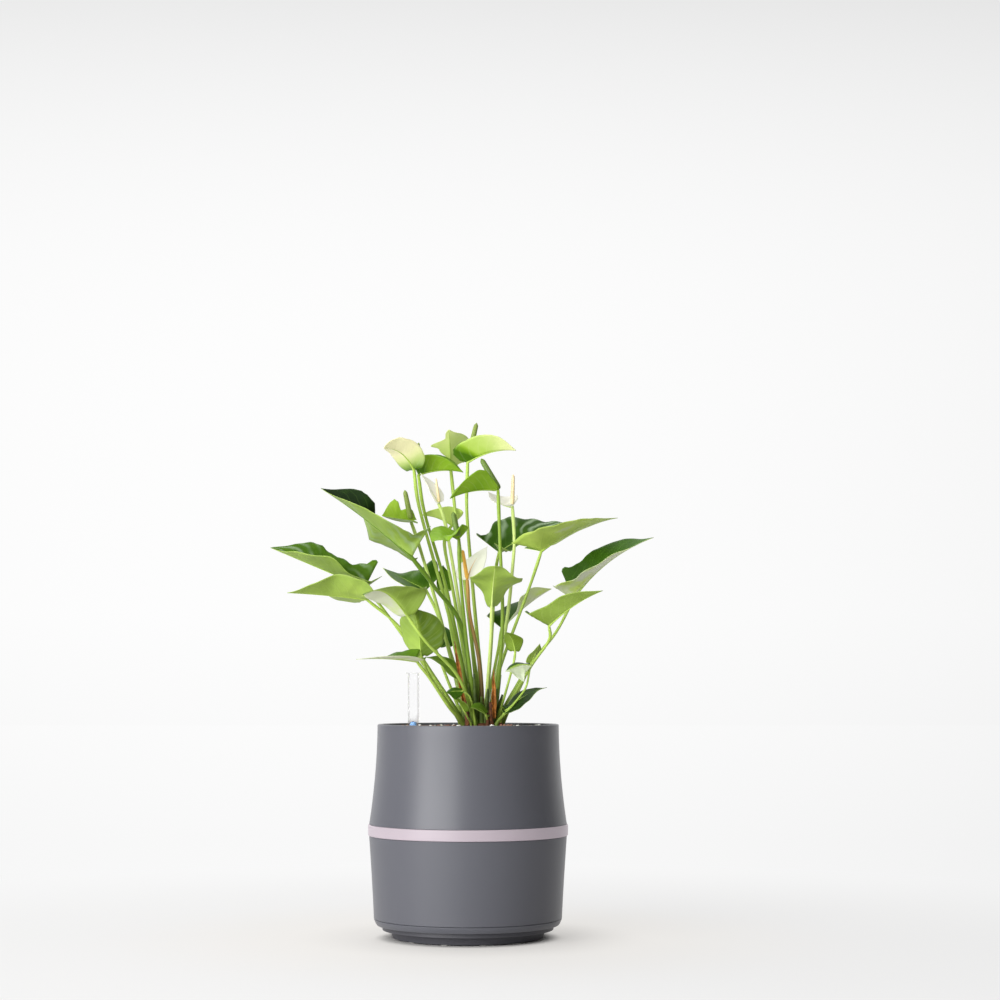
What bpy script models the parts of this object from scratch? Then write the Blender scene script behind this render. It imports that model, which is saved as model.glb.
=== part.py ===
"""Potted anthurium in a self-watering planter.

One named object per piece, in metres, +Z up, +Y away from the viewer, standing on z = 0
with the pot's axis at x = y = 0.  Sizes below are millimetres and become metres when a
mesh is made.
"""
from math import cos, pi, radians, sin

import bmesh
import bpy
import numpy as np

# ---------------------------------------------------------------- driving sizes, mm
GAP = 0.3                 # clearance between neighbouring pieces
POT_R = 109.0             # outer radius of the pot where its two shells meet
POT_H = 233.3             # rim above the floor
RIM_R = 100.3             # outer radius at the rim
WALL = 3.0                # wall of both shells
BAND_Z = (111.7, 123.7)   # bottom and top of the trim band
SEAM_Z = 21.7             # seam under the lower shell
FOOT_R = 82.7             # foot ring where it meets the floor
PAD_COUNT = 12            # small rubber pads under the foot ring
PAD_H = 1.0
SOIL_Z = 227.0            # top of the planting mix
GAUGE_X, GAUGE_Y = -59.0, -42.0   # water gauge, from the pot's axis
GAUGE_R = 6.3
GAUGE_TOP = 290.0
CROWN = (15.0, -5.0)      # middle of the clump of stems
CROWN_Z = 236.0           # top of the root crown
BLADE_T = 0.8             # thickness of leaves and spathes
LOBE_LIFT = 35.0          # how steeply the back lobes rise, degrees

# ---------------------------------------------------------------- the plant's layout
# Every stem runs foot -> via -> base, and its blade runs base -> tip.  `rise` bows the
# midrib.  `right` and `left` are how far each half is raised (+) or hangs (-), degrees,
# at four even stations from the stem to the tip.  `lobe` is the length of the back lobes
# as a share of the blade.
LEAVES = {
    # left side, high to low
    "leaf_01": dict(foot=(7, -5), via=((-6, -12, 337), (-37, -30, 384)), base=(-61, -45, 415),
                    tip=(-163, -30, 493), rise=3, width=82, right=(20, -25, 40, 30),
                    left=(85, 24, 2, 0), lobe=.05, stem=2.4),
    "leaf_02": dict(foot=(-7, 5), via=((-38, -7, 283), (-84, -17, 347)), base=(-113, -20, 384),
                    tip=(-218, -35, 427), rise=0, width=92, right=(55, 28, 55, 70),
                    left=(0, 16, 12, 0), lobe=.08),
    "leaf_03": dict(foot=(-6, -2), via=((-35, -12, 282), (-74, -21, 338)), base=(-111, -36, 370),
                    tip=(-195, -70, 376), rise=1, width=74, right=(-10, 8, 10, 10),
                    left=(10, 42, 50, 20), lobe=.10),
    "leaf_04": dict(foot=(8, -24), via=((-10, -46, 285), (-44, -74, 322)), base=(-64, -80, 350),
                    tip=(-110, -138, 370), rise=14, skew=-.3, width=68, right=(0, 0, 0, 0),
                    left=(60, 28, 15, 10), lobe=.05),
    "leaf_05": dict(foot=(-8, -10), via=((-20, -28, 254), (-40, -41, 283)), base=(-51, -50, 308),
                    tip=(-64, -76, 354), rise=6, width=64, right=(40, 50, 50, 40),
                    left=(20, 25, 25, 20), lobe=.10),
    "leaf_06": dict(foot=(-5, -19), via=((-20, -38, 252), (-40, -50, 282)), base=(-55, -60, 302),
                    tip=(-118, -98, 304), rise=2, width=46, right=(20, 28, 28, 20),
                    left=(5, 8, 8, 5), lobe=.10),
    "leaf_07": dict(foot=(4, -14), via=((-7, -20, 265),), base=(-16, -22, 284),
                    tip=(-47, -34, 307), rise=4, width=32, right=(40, 45, 40, 20),
                    left=(-35, -35, -20, 0), lobe=0, stem=1.4),
    "leaf_08": dict(foot=(1, 15), via=((-14, 20, 293), (-35, 30, 355)), base=(-48, 34, 383),
                    tip=(-98, 48, 409), rise=0, width=64, right=(50, 42, 18, 5),
                    left=(0, 5, 5, 0), lobe=.10),
    "leaf_09": dict(foot=(-5, 12), via=((-26, 30, 288),), base=(-38, 40, 318),
                    tip=(-60, 86, 346), rise=8, width=52, right=(10, 10, 10, 10),
                    left=(10, 10, 10, 10), lobe=.10),
    "leaf_10": dict(foot=(5, 23), via=((-17, 42, 320),), base=(-28, 52, 383),
                    tip=(-30, 62, 413), rise=2, width=20, right=(10, 10, 0, 0),
                    left=(30, 20, 0, 0), lobe=.10, stem=1.2),
    # right side, high to low
    "leaf_11": dict(foot=(19, 11), via=((25, 25, 316), (30, 35, 400)), base=(34, 38, 426),
                    tip=(118, 70, 462), rise=5, width=84, right=(0, -1, -4, 0),
                    left=(65, 45, 28, 20), lobe=.15),
    "leaf_12": dict(foot=(25, 2), via=((33, -1, 288), (67, -11, 382)), base=(81, -12, 424),
                    tip=(167, 8, 463), rise=6, width=80, right=(80, 28, 12, 5),
                    left=(20, -8, -5, 0), lobe=.12),
    "leaf_13": dict(foot=(32, 5), via=((65, 6, 294), (97, 8, 334)), base=(117, 10, 372),
                    tip=(207, -8, 440), rise=9, width=76, right=(60, 12, -5, -10),
                    left=(85, 60, 38, 25), lobe=.10),
    "leaf_14": dict(foot=(34, -4), via=((68, -14, 295), (89, -26, 325)), base=(89, -34, 341),
                    tip=(141, -78, 380), rise=4, width=66, right=(45, 30, 25, 20),
                    left=(25, 25, 25, 20), lobe=.12),
    "leaf_15": dict(foot=(18, -12), via=((21, -20, 271), (25, -32, 326)), base=(26, -42, 360),
                    tip=(30, -88, 404), rise=4, width=64, right=(55, 50, 25, 0),
                    left=(45, 40, 25, 0), lobe=.10),
    "leaf_16": dict(foot=(20, 17), via=((22, 22, 260), (32, 34, 310)), base=(37, 40, 340),
                    tip=(94, 64, 386), rise=3, width=50, right=(15, 25, 20, 10),
                    left=(70, 25, 12, 0), lobe=.05),
    "leaf_17": dict(foot=(32, -12), via=((41, -20, 267), (50, -26, 300)), base=(52, -28, 313),
                    tip=(42, -46, 334), rise=4, width=28, right=(20, 20, 10, 10),
                    left=(20, 20, 10, 10), lobe=.10, stem=1.3),
    "leaf_18": dict(foot=(26, -30), via=((44, -50, 250), (60, -60, 264), (68, -54, 284)),
                    base=(68, -48, 298), tip=(41, -62, 291), rise=4, width=24,
                    right=(20, 20, 10, 0), left=(20, 20, 10, 0), lobe=.10, stem=1.2),
    "leaf_19": dict(foot=(36, -19), via=((37, -27, 241),), base=(41, -32, 248),
                    tip=(86, -56, 274), rise=4, width=34, right=(-40, -50, -40, 0),
                    left=(30, 40, 30, 10), lobe=.10, stem=1.3),
    "leaf_20": dict(foot=(39, 3), via=((60, -2, 278),), base=(69, -6, 300),
                    tip=(79, -14, 322), rise=0, width=16, right=(30, 20, 0, 0),
                    left=(30, 20, 0, 0), lobe=.10, stem=1.2),
    "leaf_21": dict(foot=(8, -31), via=((3, -43, 262),), base=(-6, -50, 270),
                    tip=(-24, -62, 268), rise=1, width=15, right=(30, 30, 20, 0),
                    left=(-20, -20, -10, 0), lobe=.10, stem=1.0),
    "leaf_22": dict(foot=(22, -24), via=((21, -32, 240),), base=(20, -38, 244),
                    tip=(3, -54, 252), rise=3, width=20, right=(20, 20, 10, 0),
                    left=(-30, -30, -20, 0), lobe=.10, stem=1.2),
    "leaf_23": dict(foot=(3, -29), via=((0, -38, 241),), base=(-3, -44, 247),
                    tip=(-16, -50, 266), rise=1, width=14, right=(20, 20, 10, 0),
                    left=(20, 20, 10, 0), lobe=.05, stem=1.0),
}
FLOWERS = {
    "flower_01": dict(foot=(2, 1), via=((-9, -2, 304), (-31, 0, 388), (-55, 2, 474)),
                      base=(-61, 2, 516), tip=(-94, -26, 538), rise=8, width=44,
                      right=(0, 0, 0, 0), left=(30, 50, 48, 30), lobe=.05,
                      spadix=((-60, 5, 522), (-56, 10, 548), 2.4)),
    "flower_02": dict(foot=(4, 7), via=((-8, 12, 304), (-26, 18, 388), (-50, 26, 470)),
                      base=(-57, 28, 513), tip=(-6, 14, 515), rise=4, width=42,
                      right=(60, 60, 55, 40), left=(70, 70, 65, 40), lobe=0),
    "flower_03": dict(foot=(14, 16), via=((6, 16, 304), (-5, 20, 394), (-14, 22, 460)),
                      base=(-21, 40, 523), tip=(-22, 4, 562), rise=4, width=58,
                      right=(45, 30, 25, 0), left=(50, 45, 30, 0), lobe=.10),
    "flower_04": dict(foot=(15, 4), via=((13, 5, 293), (5, 10, 382), (-2, 11, 471)),
                      base=(-1, 6, 525), tip=(53, -12, 537), rise=5, width=60,
                      right=(55, 57, 62, 50), left=(30, 30, 30, 30), lobe=.20,
                      spadix=((0, 12, 536), (9, 16, 571), 3.0)),
    "flower_05": dict(foot=(25, -7), via=((32, -11, 271), (38, -17, 348), (35, -18, 437)),
                      base=(33, -15, 492), tip=(-20, -38, 481), rise=4, width=48,
                      right=(30, 30, 30, 30), left=(60, 62, 60, 50), lobe=0,
                      spadix=((34, -9, 500), (14, -4, 528), 3.3)),
    "flower_06": dict(foot=(9, 11), via=((2, 11, 282), (-13, 13, 382), (-26, 16, 456)),
                      base=(-34, 16, 480), tip=(-54, 16, 514), rise=0, width=24,
                      right=(60, 60, 50, 30), left=(-10, -10, 0, 0), lobe=.05,
                      spadix=((-32, 14, 485), (-37, 12, 508), 1.6)),
    "flower_07": dict(foot=(25, 9), via=((29, 7, 271), (43, 0, 349), (50, -8, 416), (51, -7, 442)),
                      base=(49, 2, 475), tip=(22, 14, 493), rise=-4, width=34,
                      right=(50, 40, 30, 20), left=(5, 0, 0, 0), lobe=.10,
                      spadix=((50, 0, 482), (50, -2, 511), 2.3)),
    "flower_08": dict(foot=(-2, -7), via=((-13, -4, 282), (-35, -7, 365), (-55, -10, 432)),
                      base=(-64, -10, 458), tip=(-95, -28, 463), rise=2, width=44,
                      right=(70, 60, 60, 20), left=(-10, 0, 0, 0), lobe=.05,
                      spadix=((-66, -15, 465), (-72, -18, 492), 2.8)),
    "flower_09": dict(foot=(9, 18), via=((-2, 26, 293), (-18, 38, 383), (-28, 42, 438)),
                      base=(-19, 40, 457), tip=(-54, 34, 468), rise=3, width=34,
                      right=(30, 20, 10, 0), left=(50, 45, 20, 10), lobe=.10),
    "flower_10": dict(foot=(12, -13), via=((6, -18, 264), (-2, -26, 326), (-9, -34, 403)),
                      base=(-10, -34, 436), tip=(-42, -52, 444), rise=0, width=36,
                      right=(60, 30, 20, 10), left=(-30, -35, -20, 0), lobe=.10,
                      spadix=((-11, -38, 443), (-15, -36, 466), 2.8)),
    "flower_11": dict(foot=(13, -6), via=((15, -10, 271), (11, -16, 310), (2, -20, 353)),
                      base=(-1, -20, 392), tip=(21, -6, 430), rise=4, width=46,
                      right=(30, 35, 30, 10), left=(10, 10, 0, 0), lobe=.05,
                      spadix=((-2, -26, 400), (-6, -30, 425), 2.2)),
}
# dry papery sheaths at the foot of the stems
SHEATHS = {
    "sheath_01": dict(base=(-2, -27, 245), tip=(-15, -28, 325), width=8),
    "sheath_02": dict(base=(29, -26, 240), tip=(28, -27, 294), width=8),
}

# share of the half width at each place along the blade, from the stem to the tip
LEAF_OUTLINE = ((0, .36), (.05, .70), (.12, .92), (.22, 1), (.35, .98), (.50, .86),
                (.65, .66), (.80, .40), (.90, .17), (1, 0))
SPATHE_OUTLINE = ((0, .36), (.06, .74), (.16, .98), (.28, 1), (.45, .94), (.62, .75),
                  (.80, .44), (.92, .16), (1, 0))

# name: (colour, roughness)
MATERIALS = {
    "pot": ((.085, .085, .095), .55),
    "band": ((.62, .54, .58), .40),
    "foot": ((.10, .10, .11), .60),
    "liner": ((.03, .03, .035), .60),
    "mix": ((.20, .14, .10), .90),
    "crown": ((.16, .08, .035), .80),
    "clear": ((.85, .88, .90), .10),
    "float": ((.10, .30, .75), .40),
    "leaf": ((.05, .16, .035), .35),
    "spathe_green": ((.36, .60, .08), .40),
    "spathe_cream": ((.80, .80, .50), .40),
    "spathe_white": ((.85, .84, .78), .40),
    "spadix_green": ((.13, .28, .05), .60),
    "spadix_cream": ((.90, .66, .32), .60),
    "sheath": ((.35, .12, .02), .80),
}
SPATHE_COLOUR = {1: "spathe_cream", 6: "spathe_white", 7: "spathe_white", 11: "spathe_white"}
SPADIX_COLOUR = {6: "spadix_cream", 7: "spadix_cream", 11: "spadix_cream"}


# ---------------------------------------------------------------- small helpers
def clear_scene():
    for ob in list(bpy.data.objects):
        bpy.data.objects.remove(ob)


def material(name):
    if name in bpy.data.materials:
        return bpy.data.materials[name]
    colour, roughness = MATERIALS[name]
    mat = bpy.data.materials.new(name)
    mat.use_nodes = True
    shader = mat.node_tree.nodes["Principled BSDF"]
    shader.inputs["Base Color"].default_value = (*colour, 1)
    shader.inputs["Roughness"].default_value = roughness
    shader.inputs["Metallic"].default_value = 0
    return mat


def add_object(name, verts, faces, mat):
    """A mesh object from millimetre vertices, its faces turned outward."""
    bm = bmesh.new()
    points = [bm.verts.new([c * .001 for c in v]) for v in verts]
    for face in faces:
        bm.faces.new([points[i] for i in face])
    bmesh.ops.recalc_face_normals(bm, faces=bm.faces)
    mesh = bpy.data.meshes.new(name)
    bm.to_mesh(mesh)
    bm.free()
    ob = bpy.data.objects.new(name, mesh)
    bpy.context.collection.objects.link(ob)
    mesh.materials.append(material(mat))
    return ob


def combine(ob, other, operation):
    """Join `other` into `ob`, or cut it away, and keep only `ob`."""
    step = ob.modifiers.new(operation.lower(), "BOOLEAN")
    step.operation, step.solver, step.object = operation, "EXACT", other
    graph = bpy.context.evaluated_depsgraph_get()
    mesh = bpy.data.meshes.new_from_object(ob.evaluated_get(graph))
    ob.modifiers.clear()
    old, ob.data = ob.data, mesh
    mesh.name = ob.name
    bpy.data.meshes.remove(old)
    bpy.data.objects.remove(other)


def unit(v):
    return v / np.linalg.norm(v)


# ---------------------------------------------------------------- turned pieces
def lathe(name, profile, steps, mat, centre=(0, 0)):
    """Turn a closed (radius, height) outline about a vertical axis."""
    verts, rings = [], []
    for r, z in profile:
        if r == 0:
            rings.append([len(verts)] * steps)
            verts.append((centre[0], centre[1], z))
        else:
            rings.append([len(verts) + k for k in range(steps)])
            verts += [(centre[0] + r * cos(2 * pi * k / steps),
                       centre[1] + r * sin(2 * pi * k / steps), z) for k in range(steps)]
    faces = []
    for (ra, _), (rb, _), a, b in zip(profile, profile[1:] + profile[:1],
                                      rings, rings[1:] + rings[:1]):
        if ra == rb == 0:
            continue
        for k in range(steps):
            n = (k + 1) % steps
            quad = [a[k], a[n], b[n], b[k]]
            faces.append([v for i, v in enumerate(quad) if v not in quad[:i]])
    return add_object(name, verts, faces, mat)


def upper_radius(z):
    """Outside of the upper shell: it leans in towards the rim."""
    return RIM_R + (POT_R - RIM_R) * ((POT_H - z) / (POT_H - BAND_Z[1])) ** 1.9


def lower_radius(z):
    """Outside of the lower shell: it leans in towards the floor."""
    return 103.4 + (POT_R - 103.4) * ((z - SEAM_Z) / (BAND_Z[0] - SEAM_Z)) ** 1.15


def build_pot():
    # foot: a disc with a ring under its edge, a boss under its middle and pads on the ring
    foot_top = 14.2
    foot = lathe("base_foot", [(0, 0), (14, 0), (15, 10.5), (FOOT_R - 9, 10.5),
                               (FOOT_R - 7, PAD_H), (FOOT_R, PAD_H), (FOOT_R + 2.8, 9),
                               (94, 9.4), (94, foot_top), (0, foot_top)], 48, "foot")
    for k in range(PAD_COUNT):
        a = 2 * pi * (k + .43) / PAD_COUNT
        out, side = np.array((sin(a), -cos(a))), np.array((cos(a), sin(a)))
        verts = []
        for z in (0, PAD_H + .4):
            for r, w in ((FOOT_R - 6, -3.5), (FOOT_R - .6, -3.5),
                         (FOOT_R - .6, 3.5), (FOOT_R - 6, 3.5)):
                verts.append((*(out * r + side * w), z))
        faces = [(3, 2, 1, 0), (4, 5, 6, 7), (0, 1, 5, 4), (1, 2, 6, 5), (2, 3, 7, 6),
                 (3, 0, 4, 7)]
        combine(foot, add_object("pad", verts, faces, "foot"), "UNION")

    lathe("reservoir_base", [(55, foot_top + GAP), (100, foot_top + GAP),
                             (103.2, SEAM_Z - .8), (103.2, SEAM_Z - .2), (55, SEAM_Z - .2)],
          48, "pot")

    # lower shell, which holds the water
    bottom, top = SEAM_Z + .1, BAND_Z[0] - GAP
    heights = np.linspace(bottom, top, 6)
    wall = [(lower_radius(z), z) for z in heights]
    inside = [(lower_radius(z) - WALL, z) for z in heights[:0:-1]]
    lathe("reservoir_shell", [(0, bottom + 2), (98, bottom + 2), (99.5, bottom)] + wall
          + inside + [(98, 27), (0, 27)], 48, "pot")

    lathe("trim_band", [(105.5, BAND_Z[0]), (POT_R + .6, BAND_Z[0]), (POT_R + 1.2, 112.6),
                        (POT_R + 1.2, 122.8), (POT_R + .6, BAND_Z[1]), (105.5, BAND_Z[1])],
          48, "band")

    # upper shell: a spigot drops inside the lower one, and a ledge carries the liner
    bottom = BAND_Z[1] + GAP
    heights = np.linspace(bottom, POT_H - 1.4, 6)
    wall = [(upper_radius(z), z) for z in heights]
    lip = [(RIM_R - .5, POT_H - .4), (RIM_R - 1.4, POT_H), (RIM_R - 2.4, POT_H - .4),
           (RIM_R - WALL, POT_H - 1.4)]
    ledge = [(upper_radius(217) - WALL, 217), (94, 217), (94, 213)]
    inside = [(upper_radius(z) - WALL, z) for z in (170, 132)]
    lathe("planter_shell", [(102.5, 100), (105.1, 100), (105.1, bottom)] + wall + lip
          + ledge + inside + [(102.5, 127)], 48, "pot")


def build_inside():
    # liner: an inner pot hung on the ledge, open at the floor for water and the gauge
    flange, floor = 217 + GAP, 68.0

    def liner_r(z):
        return 80 + 8 * (z - floor) / (flange - floor)

    liner = lathe("grow_liner", [(0, floor), (82, floor), (liner_r(flange) + 2, flange),
                                 (97, flange), (97, flange + 2), (liner_r(flange), flange + 2),
                                 (80, floor + 2), (0, floor + 2)], 40, "liner")
    holes = [(GAUGE_X, GAUGE_Y, GAUGE_R + .5)]
    holes += [(48 * cos(a), 48 * sin(a), 7) for a in (radians(60 * k + 10) for k in range(5))]
    for x, y, r in holes:
        combine(liner, lathe("hole", [(0, floor - 5), (r, floor - 5), (r, floor + 7),
                                      (0, floor + 7)], 12, "liner", (x, y)), "DIFFERENCE")

    low = floor + 2 + GAP
    mix = lathe("substrate", [(0, low), (80 - GAP, low),
                              (liner_r(flange) - GAP - .1, flange + 2 + GAP),
                              (96.8, flange + 2 + GAP), (96.4, SOIL_Z - 1), (30, SOIL_Z),
                              (0, SOIL_Z)], 40, "mix")
    combine(mix, lathe("hole", [(0, low - 5), (GAUGE_R + .4, low - 5),
                                (GAUGE_R + .4, SOIL_Z + 5), (0, SOIL_Z + 5)], 16, "mix",
                       (GAUGE_X, GAUGE_Y)), "DIFFERENCE")

    low = SOIL_Z + GAP
    lathe("root_crown", [(0, low), (29, low), (28.6, CROWN_Z - 2), (26.5, CROWN_Z),
                         (0, CROWN_Z)], 24, "crown", CROWN)

    low = 27 + GAP
    lathe("gauge_tube", [(2, low), (GAUGE_R, low), (GAUGE_R, GAUGE_TOP - 2.5),
                         (8.5, GAUGE_TOP - 1.5), (8.5, GAUGE_TOP), (5.3, GAUGE_TOP),
                         (5.3, low + 1.5), (2, low + 1.5)], 20, "clear",
          (GAUGE_X, GAUGE_Y))
    lathe("gauge_float", [(0, 33), (4.6, 33), (4.6, 60), (1.2, 62), (1.2, 226), (3.8, 227),
                          (3.8, 239), (0, 241.5)], 12, "float", (GAUGE_X, GAUGE_Y))


# ---------------------------------------------------------------- stems and blades
def smooth_path(points, count):
    """Places evenly shared along a smooth curve through the points."""
    p = [np.array(q, float) for q in points]
    p = [2 * p[0] - p[1]] + p + [2 * p[-1] - p[-2]]
    curve = []
    for a, b, c, d in zip(p, p[1:], p[2:], p[3:]):
        for t in np.arange(0, 1, 1 / 12):
            curve.append(.5 * (2 * b + (c - a) * t + (2 * a - 5 * b + 4 * c - d) * t * t
                               + (3 * b - a - 3 * c + d) * t ** 3))
    curve.append(p[-2])
    curve = np.array(curve)
    run = np.concatenate([[0], np.cumsum(np.linalg.norm(np.diff(curve, axis=0), axis=1))])
    want = np.linspace(0, run[-1], count)
    return np.stack([np.interp(want, run, curve[:, k]) for k in range(3)], axis=1)


def tube(name, points, radii, count, sides, mat):
    """A round stem along a smooth path; its first ring lies level."""
    path = smooth_path(points, count)
    verts, side = [], np.array((1., 0, 0))
    for i, centre in enumerate(path):
        ahead = unit(path[min(i + 1, count - 1)] - path[max(i - 1, 0)])
        if i == 0:
            ahead = np.array((0, 0, 1.))
        side = unit(side - ahead * side.dot(ahead))
        other = np.cross(ahead, side)
        r = radii[0] + (radii[1] - radii[0]) * i / (count - 1)
        verts += [centre + r * (side * cos(2 * pi * k / sides) + other * sin(2 * pi * k / sides))
                  for k in range(sides)]
    faces = [list(range(sides))[::-1], [len(verts) - sides + k for k in range(sides)]]
    for i in range(count - 1):
        for k in range(sides):
            n = (k + 1) % sides
            a = i * sides
            faces.append((a + k, a + n, a + sides + n, a + sides + k))
    return add_object(name, verts, faces, mat)


def eased(keys, t):
    """Values at even stations, eased from one to the next."""
    x = min(max(t, 0), 1) * (len(keys) - 1)
    i = min(int(x), len(keys) - 2)
    f = x - i
    return keys[i] + (keys[i + 1] - keys[i]) * f * f * (3 - 2 * f)


class Midrib:
    """A bowed line from base to tip with a level side direction carried along it."""

    def __init__(self, base, tip, rise, skew):
        self.base, self.tip = np.array(base, float), np.array(tip, float)
        chord = self.tip - self.base
        self.length = np.linalg.norm(chord)
        along = chord / self.length
        up = np.array((0, 0, 1.)) if abs(along[2]) < .96 else np.array((0, -1., 0))
        side = unit(np.cross(along, up))
        off = np.cross(side, along) * rise * 4 / 3
        self.ctrl = [self.base, self.base + chord / 3 + off * (1 + skew),
                     self.base + chord * 2 / 3 + off * (1 - skew), self.tip]
        self.frames = []
        for t in np.linspace(0, 1, 41):
            a, b, c, d = self.ctrl
            ahead = unit((b - a) * (1 - t) ** 2 + 2 * (c - b) * t * (1 - t) + (d - c) * t * t)
            side = unit(side - ahead * side.dot(ahead))
            self.frames.append((ahead, side))

    def at(self, t):
        """Place, forward, right and upper directions at t along the midrib."""
        a, b, c, d = self.ctrl
        u = min(max(t, 0), 1)
        place = (a * (1 - u) ** 3 + 3 * b * u * (1 - u) ** 2 + 3 * c * u * u * (1 - u)
                 + d * u ** 3)
        x = u * 40
        i = min(int(x), 39)
        ahead = unit(self.frames[i][0] + (self.frames[i + 1][0] - self.frames[i][0]) * (x - i))
        side = unit(self.frames[i][1] + (self.frames[i + 1][1] - self.frames[i][1]) * (x - i))
        if t < 0:
            level = unit(ahead * (1, 1, 0))
            lift = radians(LOBE_LIFT)
            place = self.base + self.length * t * (level * cos(lift)
                                                   - np.array((0, 0, 1)) * sin(lift))
        return place, ahead, side, np.cross(side, ahead)


def half_width(outline, u):
    at, share = zip(*outline)
    spread = .04 * min(1, (1 - u) / .04)
    return float(np.mean([np.interp(u + k * spread / 3, at, share) for k in range(-3, 4)]))


def blade_point(rib, spec, outline, u, v):
    """A place on the blade: u runs to the tip, v from the left margin to the right one."""
    across = abs(v)
    place, _, side, upper = rib.at(u - spec["lobe"] * (1 - u) ** 3 * across ** 1.5)
    reach = spec["width"] / 2 * half_width(outline, u) * across
    raised = radians(eased(spec["right"] if v > 0 else spec["left"], u))
    return place + side * reach * cos(raised) * (1 if v > 0 else -1) + upper * reach * sin(raised)


def blade(name, spec, outline, rows, cols, mat):
    """A leaf or spathe as one thin closed solid."""
    spec = {"rise": 0, "skew": 0, "lobe": 0, "right": (20,) * 4, "left": (20,) * 4, **spec}
    rib = Midrib(spec["base"], spec["tip"], spec["rise"], spec["skew"])
    us = [1 - (1 - i / rows) ** 1.15 for i in range(rows)]
    vs = [2 * j / cols - 1 for j in range(cols + 1)]
    grid = np.array([[blade_point(rib, spec, outline, u, v) for v in vs] for u in us])
    along = np.gradient(grid, axis=0)
    across = np.gradient(grid, axis=1)
    normal = np.cross(across, along)
    normal /= np.linalg.norm(normal, axis=2, keepdims=True)
    n = cols + 1
    verts = list((grid + normal * BLADE_T / 2).reshape(-1, 3))
    verts += list((grid - normal * BLADE_T / 2).reshape(-1, 3))
    verts.append(rib.tip)
    under, tip, faces = rows * n, 2 * rows * n, []
    for i in range(rows - 1):
        for j in range(cols):
            a = i * n + j
            faces.append((a, a + 1, a + n + 1, a + n))
            faces.append((under + a, under + a + n, under + a + n + 1, under + a + 1))
        for j in (0, cols):
            a = i * n + j
            faces.append((a, a + n, under + a + n, under + a))
    for j in range(cols):
        faces.append((j, under + j, under + j + 1, j + 1))
        a = (rows - 1) * n + j
        faces.append((a, a + 1, tip))
        faces.append((under + a, tip, under + a + 1))
    for j in (0, cols):
        a = (rows - 1) * n + j
        faces.append((a, tip, under + a))
    return add_object(name, verts, faces, mat)


def grow(name, spec, outline, rows, cols, stem_r, mat):
    """One leaf or one flower without its spadix: stem and blade in a single solid."""
    foot, base = spec["foot"], np.array(spec["base"], float)
    start = CROWN_Z + .4
    points = [(*foot, start), (*foot, start + 7), *spec["via"], base]
    into = unit(base - smooth_path(points, 20)[-2]) * .5
    stem = tube("stem", points[:-1] + [base + into], (stem_r * 1.15, stem_r * .85), 9, 6, mat)
    ob = blade(name, spec, outline, rows, cols, mat)
    combine(ob, stem, "UNION")
    return ob


def build_plant():
    for name, spec in LEAVES.items():
        small = spec["width"] < 40
        grow(name, spec, LEAF_OUTLINE, 6 if small else 9, 4 if small else 6,
             spec.get("stem", 1.7), "leaf")
    for name, spec in FLOWERS.items():
        number = int(name[-2:])
        grow(name, spec, SPATHE_OUTLINE, 7, 6, spec.get("stem", 1.9),
             SPATHE_COLOUR.get(number, "spathe_green"))
        if "spadix" in spec:
            low, high, r = spec["spadix"]
            low, high = np.array(low, float), np.array(high, float)
            tube(f"spadix_{number:02d}", [low, (low + high) / 2, high - (high - low) * .03, high],
                 (r, r * .55), 6, 8, SPADIX_COLOUR.get(number, "spadix_green"))
    for name, spec in SHEATHS.items():
        blade(name, spec, LEAF_OUTLINE, 6, 2, "sheath")


clear_scene()
build_pot()
build_inside()
build_plant()
print(len(bpy.data.objects), "pieces")
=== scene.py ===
# %% [markdown]
# # A potted anthurium, dressed for rendering
# The plant is young: heart-shaped leaves on long stalks, and small spathes, the coloured
# collars behind the flower spikes. It grows in a round planter with a water gauge. This
# lesson builds the fine surfaces over it, one kind of piece at a time, in millimetres
# that are turned into metres at the last moment.

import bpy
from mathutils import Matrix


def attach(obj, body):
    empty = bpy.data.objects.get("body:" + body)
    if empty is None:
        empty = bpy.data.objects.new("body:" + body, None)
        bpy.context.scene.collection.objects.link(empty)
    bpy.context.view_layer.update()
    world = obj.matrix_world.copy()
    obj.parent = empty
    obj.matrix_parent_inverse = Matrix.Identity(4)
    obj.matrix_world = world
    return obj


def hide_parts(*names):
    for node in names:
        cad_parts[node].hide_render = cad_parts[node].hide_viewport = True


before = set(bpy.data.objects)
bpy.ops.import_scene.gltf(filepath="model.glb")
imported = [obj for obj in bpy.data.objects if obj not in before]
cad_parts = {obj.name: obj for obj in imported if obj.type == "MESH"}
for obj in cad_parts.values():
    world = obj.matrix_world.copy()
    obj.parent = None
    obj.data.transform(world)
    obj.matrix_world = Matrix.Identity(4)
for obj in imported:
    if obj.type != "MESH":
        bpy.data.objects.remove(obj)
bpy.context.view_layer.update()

# %% Modules and the unit
import random
from math import cos, hypot, pi, radians, sin

import bmesh
import bpy
import numpy as np
from mathutils import Matrix, Vector

MM = .001
print("one millimetre is", MM)

# %% [markdown]
# ## Camera
# A long lens from two and a half metres keeps the pot's sides nearly upright. It stands
# a little above the rim and tilts up by less than five degrees.

# %% Place the camera
TILT = 4.68
lens = bpy.data.cameras.new("camera")
lens.lens, lens.sensor_width = 80, 36
camera = bpy.data.objects.new("camera", lens)
camera.location = (.0352, -2.473, .2798)
camera.rotation_euler = (radians(90 + TILT), 0, 0)
bpy.context.collection.objects.link(camera)
bpy.context.scene.camera = camera
bpy.context.scene.view_settings.view_transform = "Standard"
print("camera at", [round(c, 4) for c in camera.location], "tilted up", TILT, "degrees")

# %% [markdown]
# ## Writing materials as sums
# A node tree is a formula. `Wire` wraps one socket and overloads the arithmetic signs, so
# that `1 - mask` adds a Math node. `Finish` holds one material, and its method `node`
# adds any other kind of node.

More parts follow.
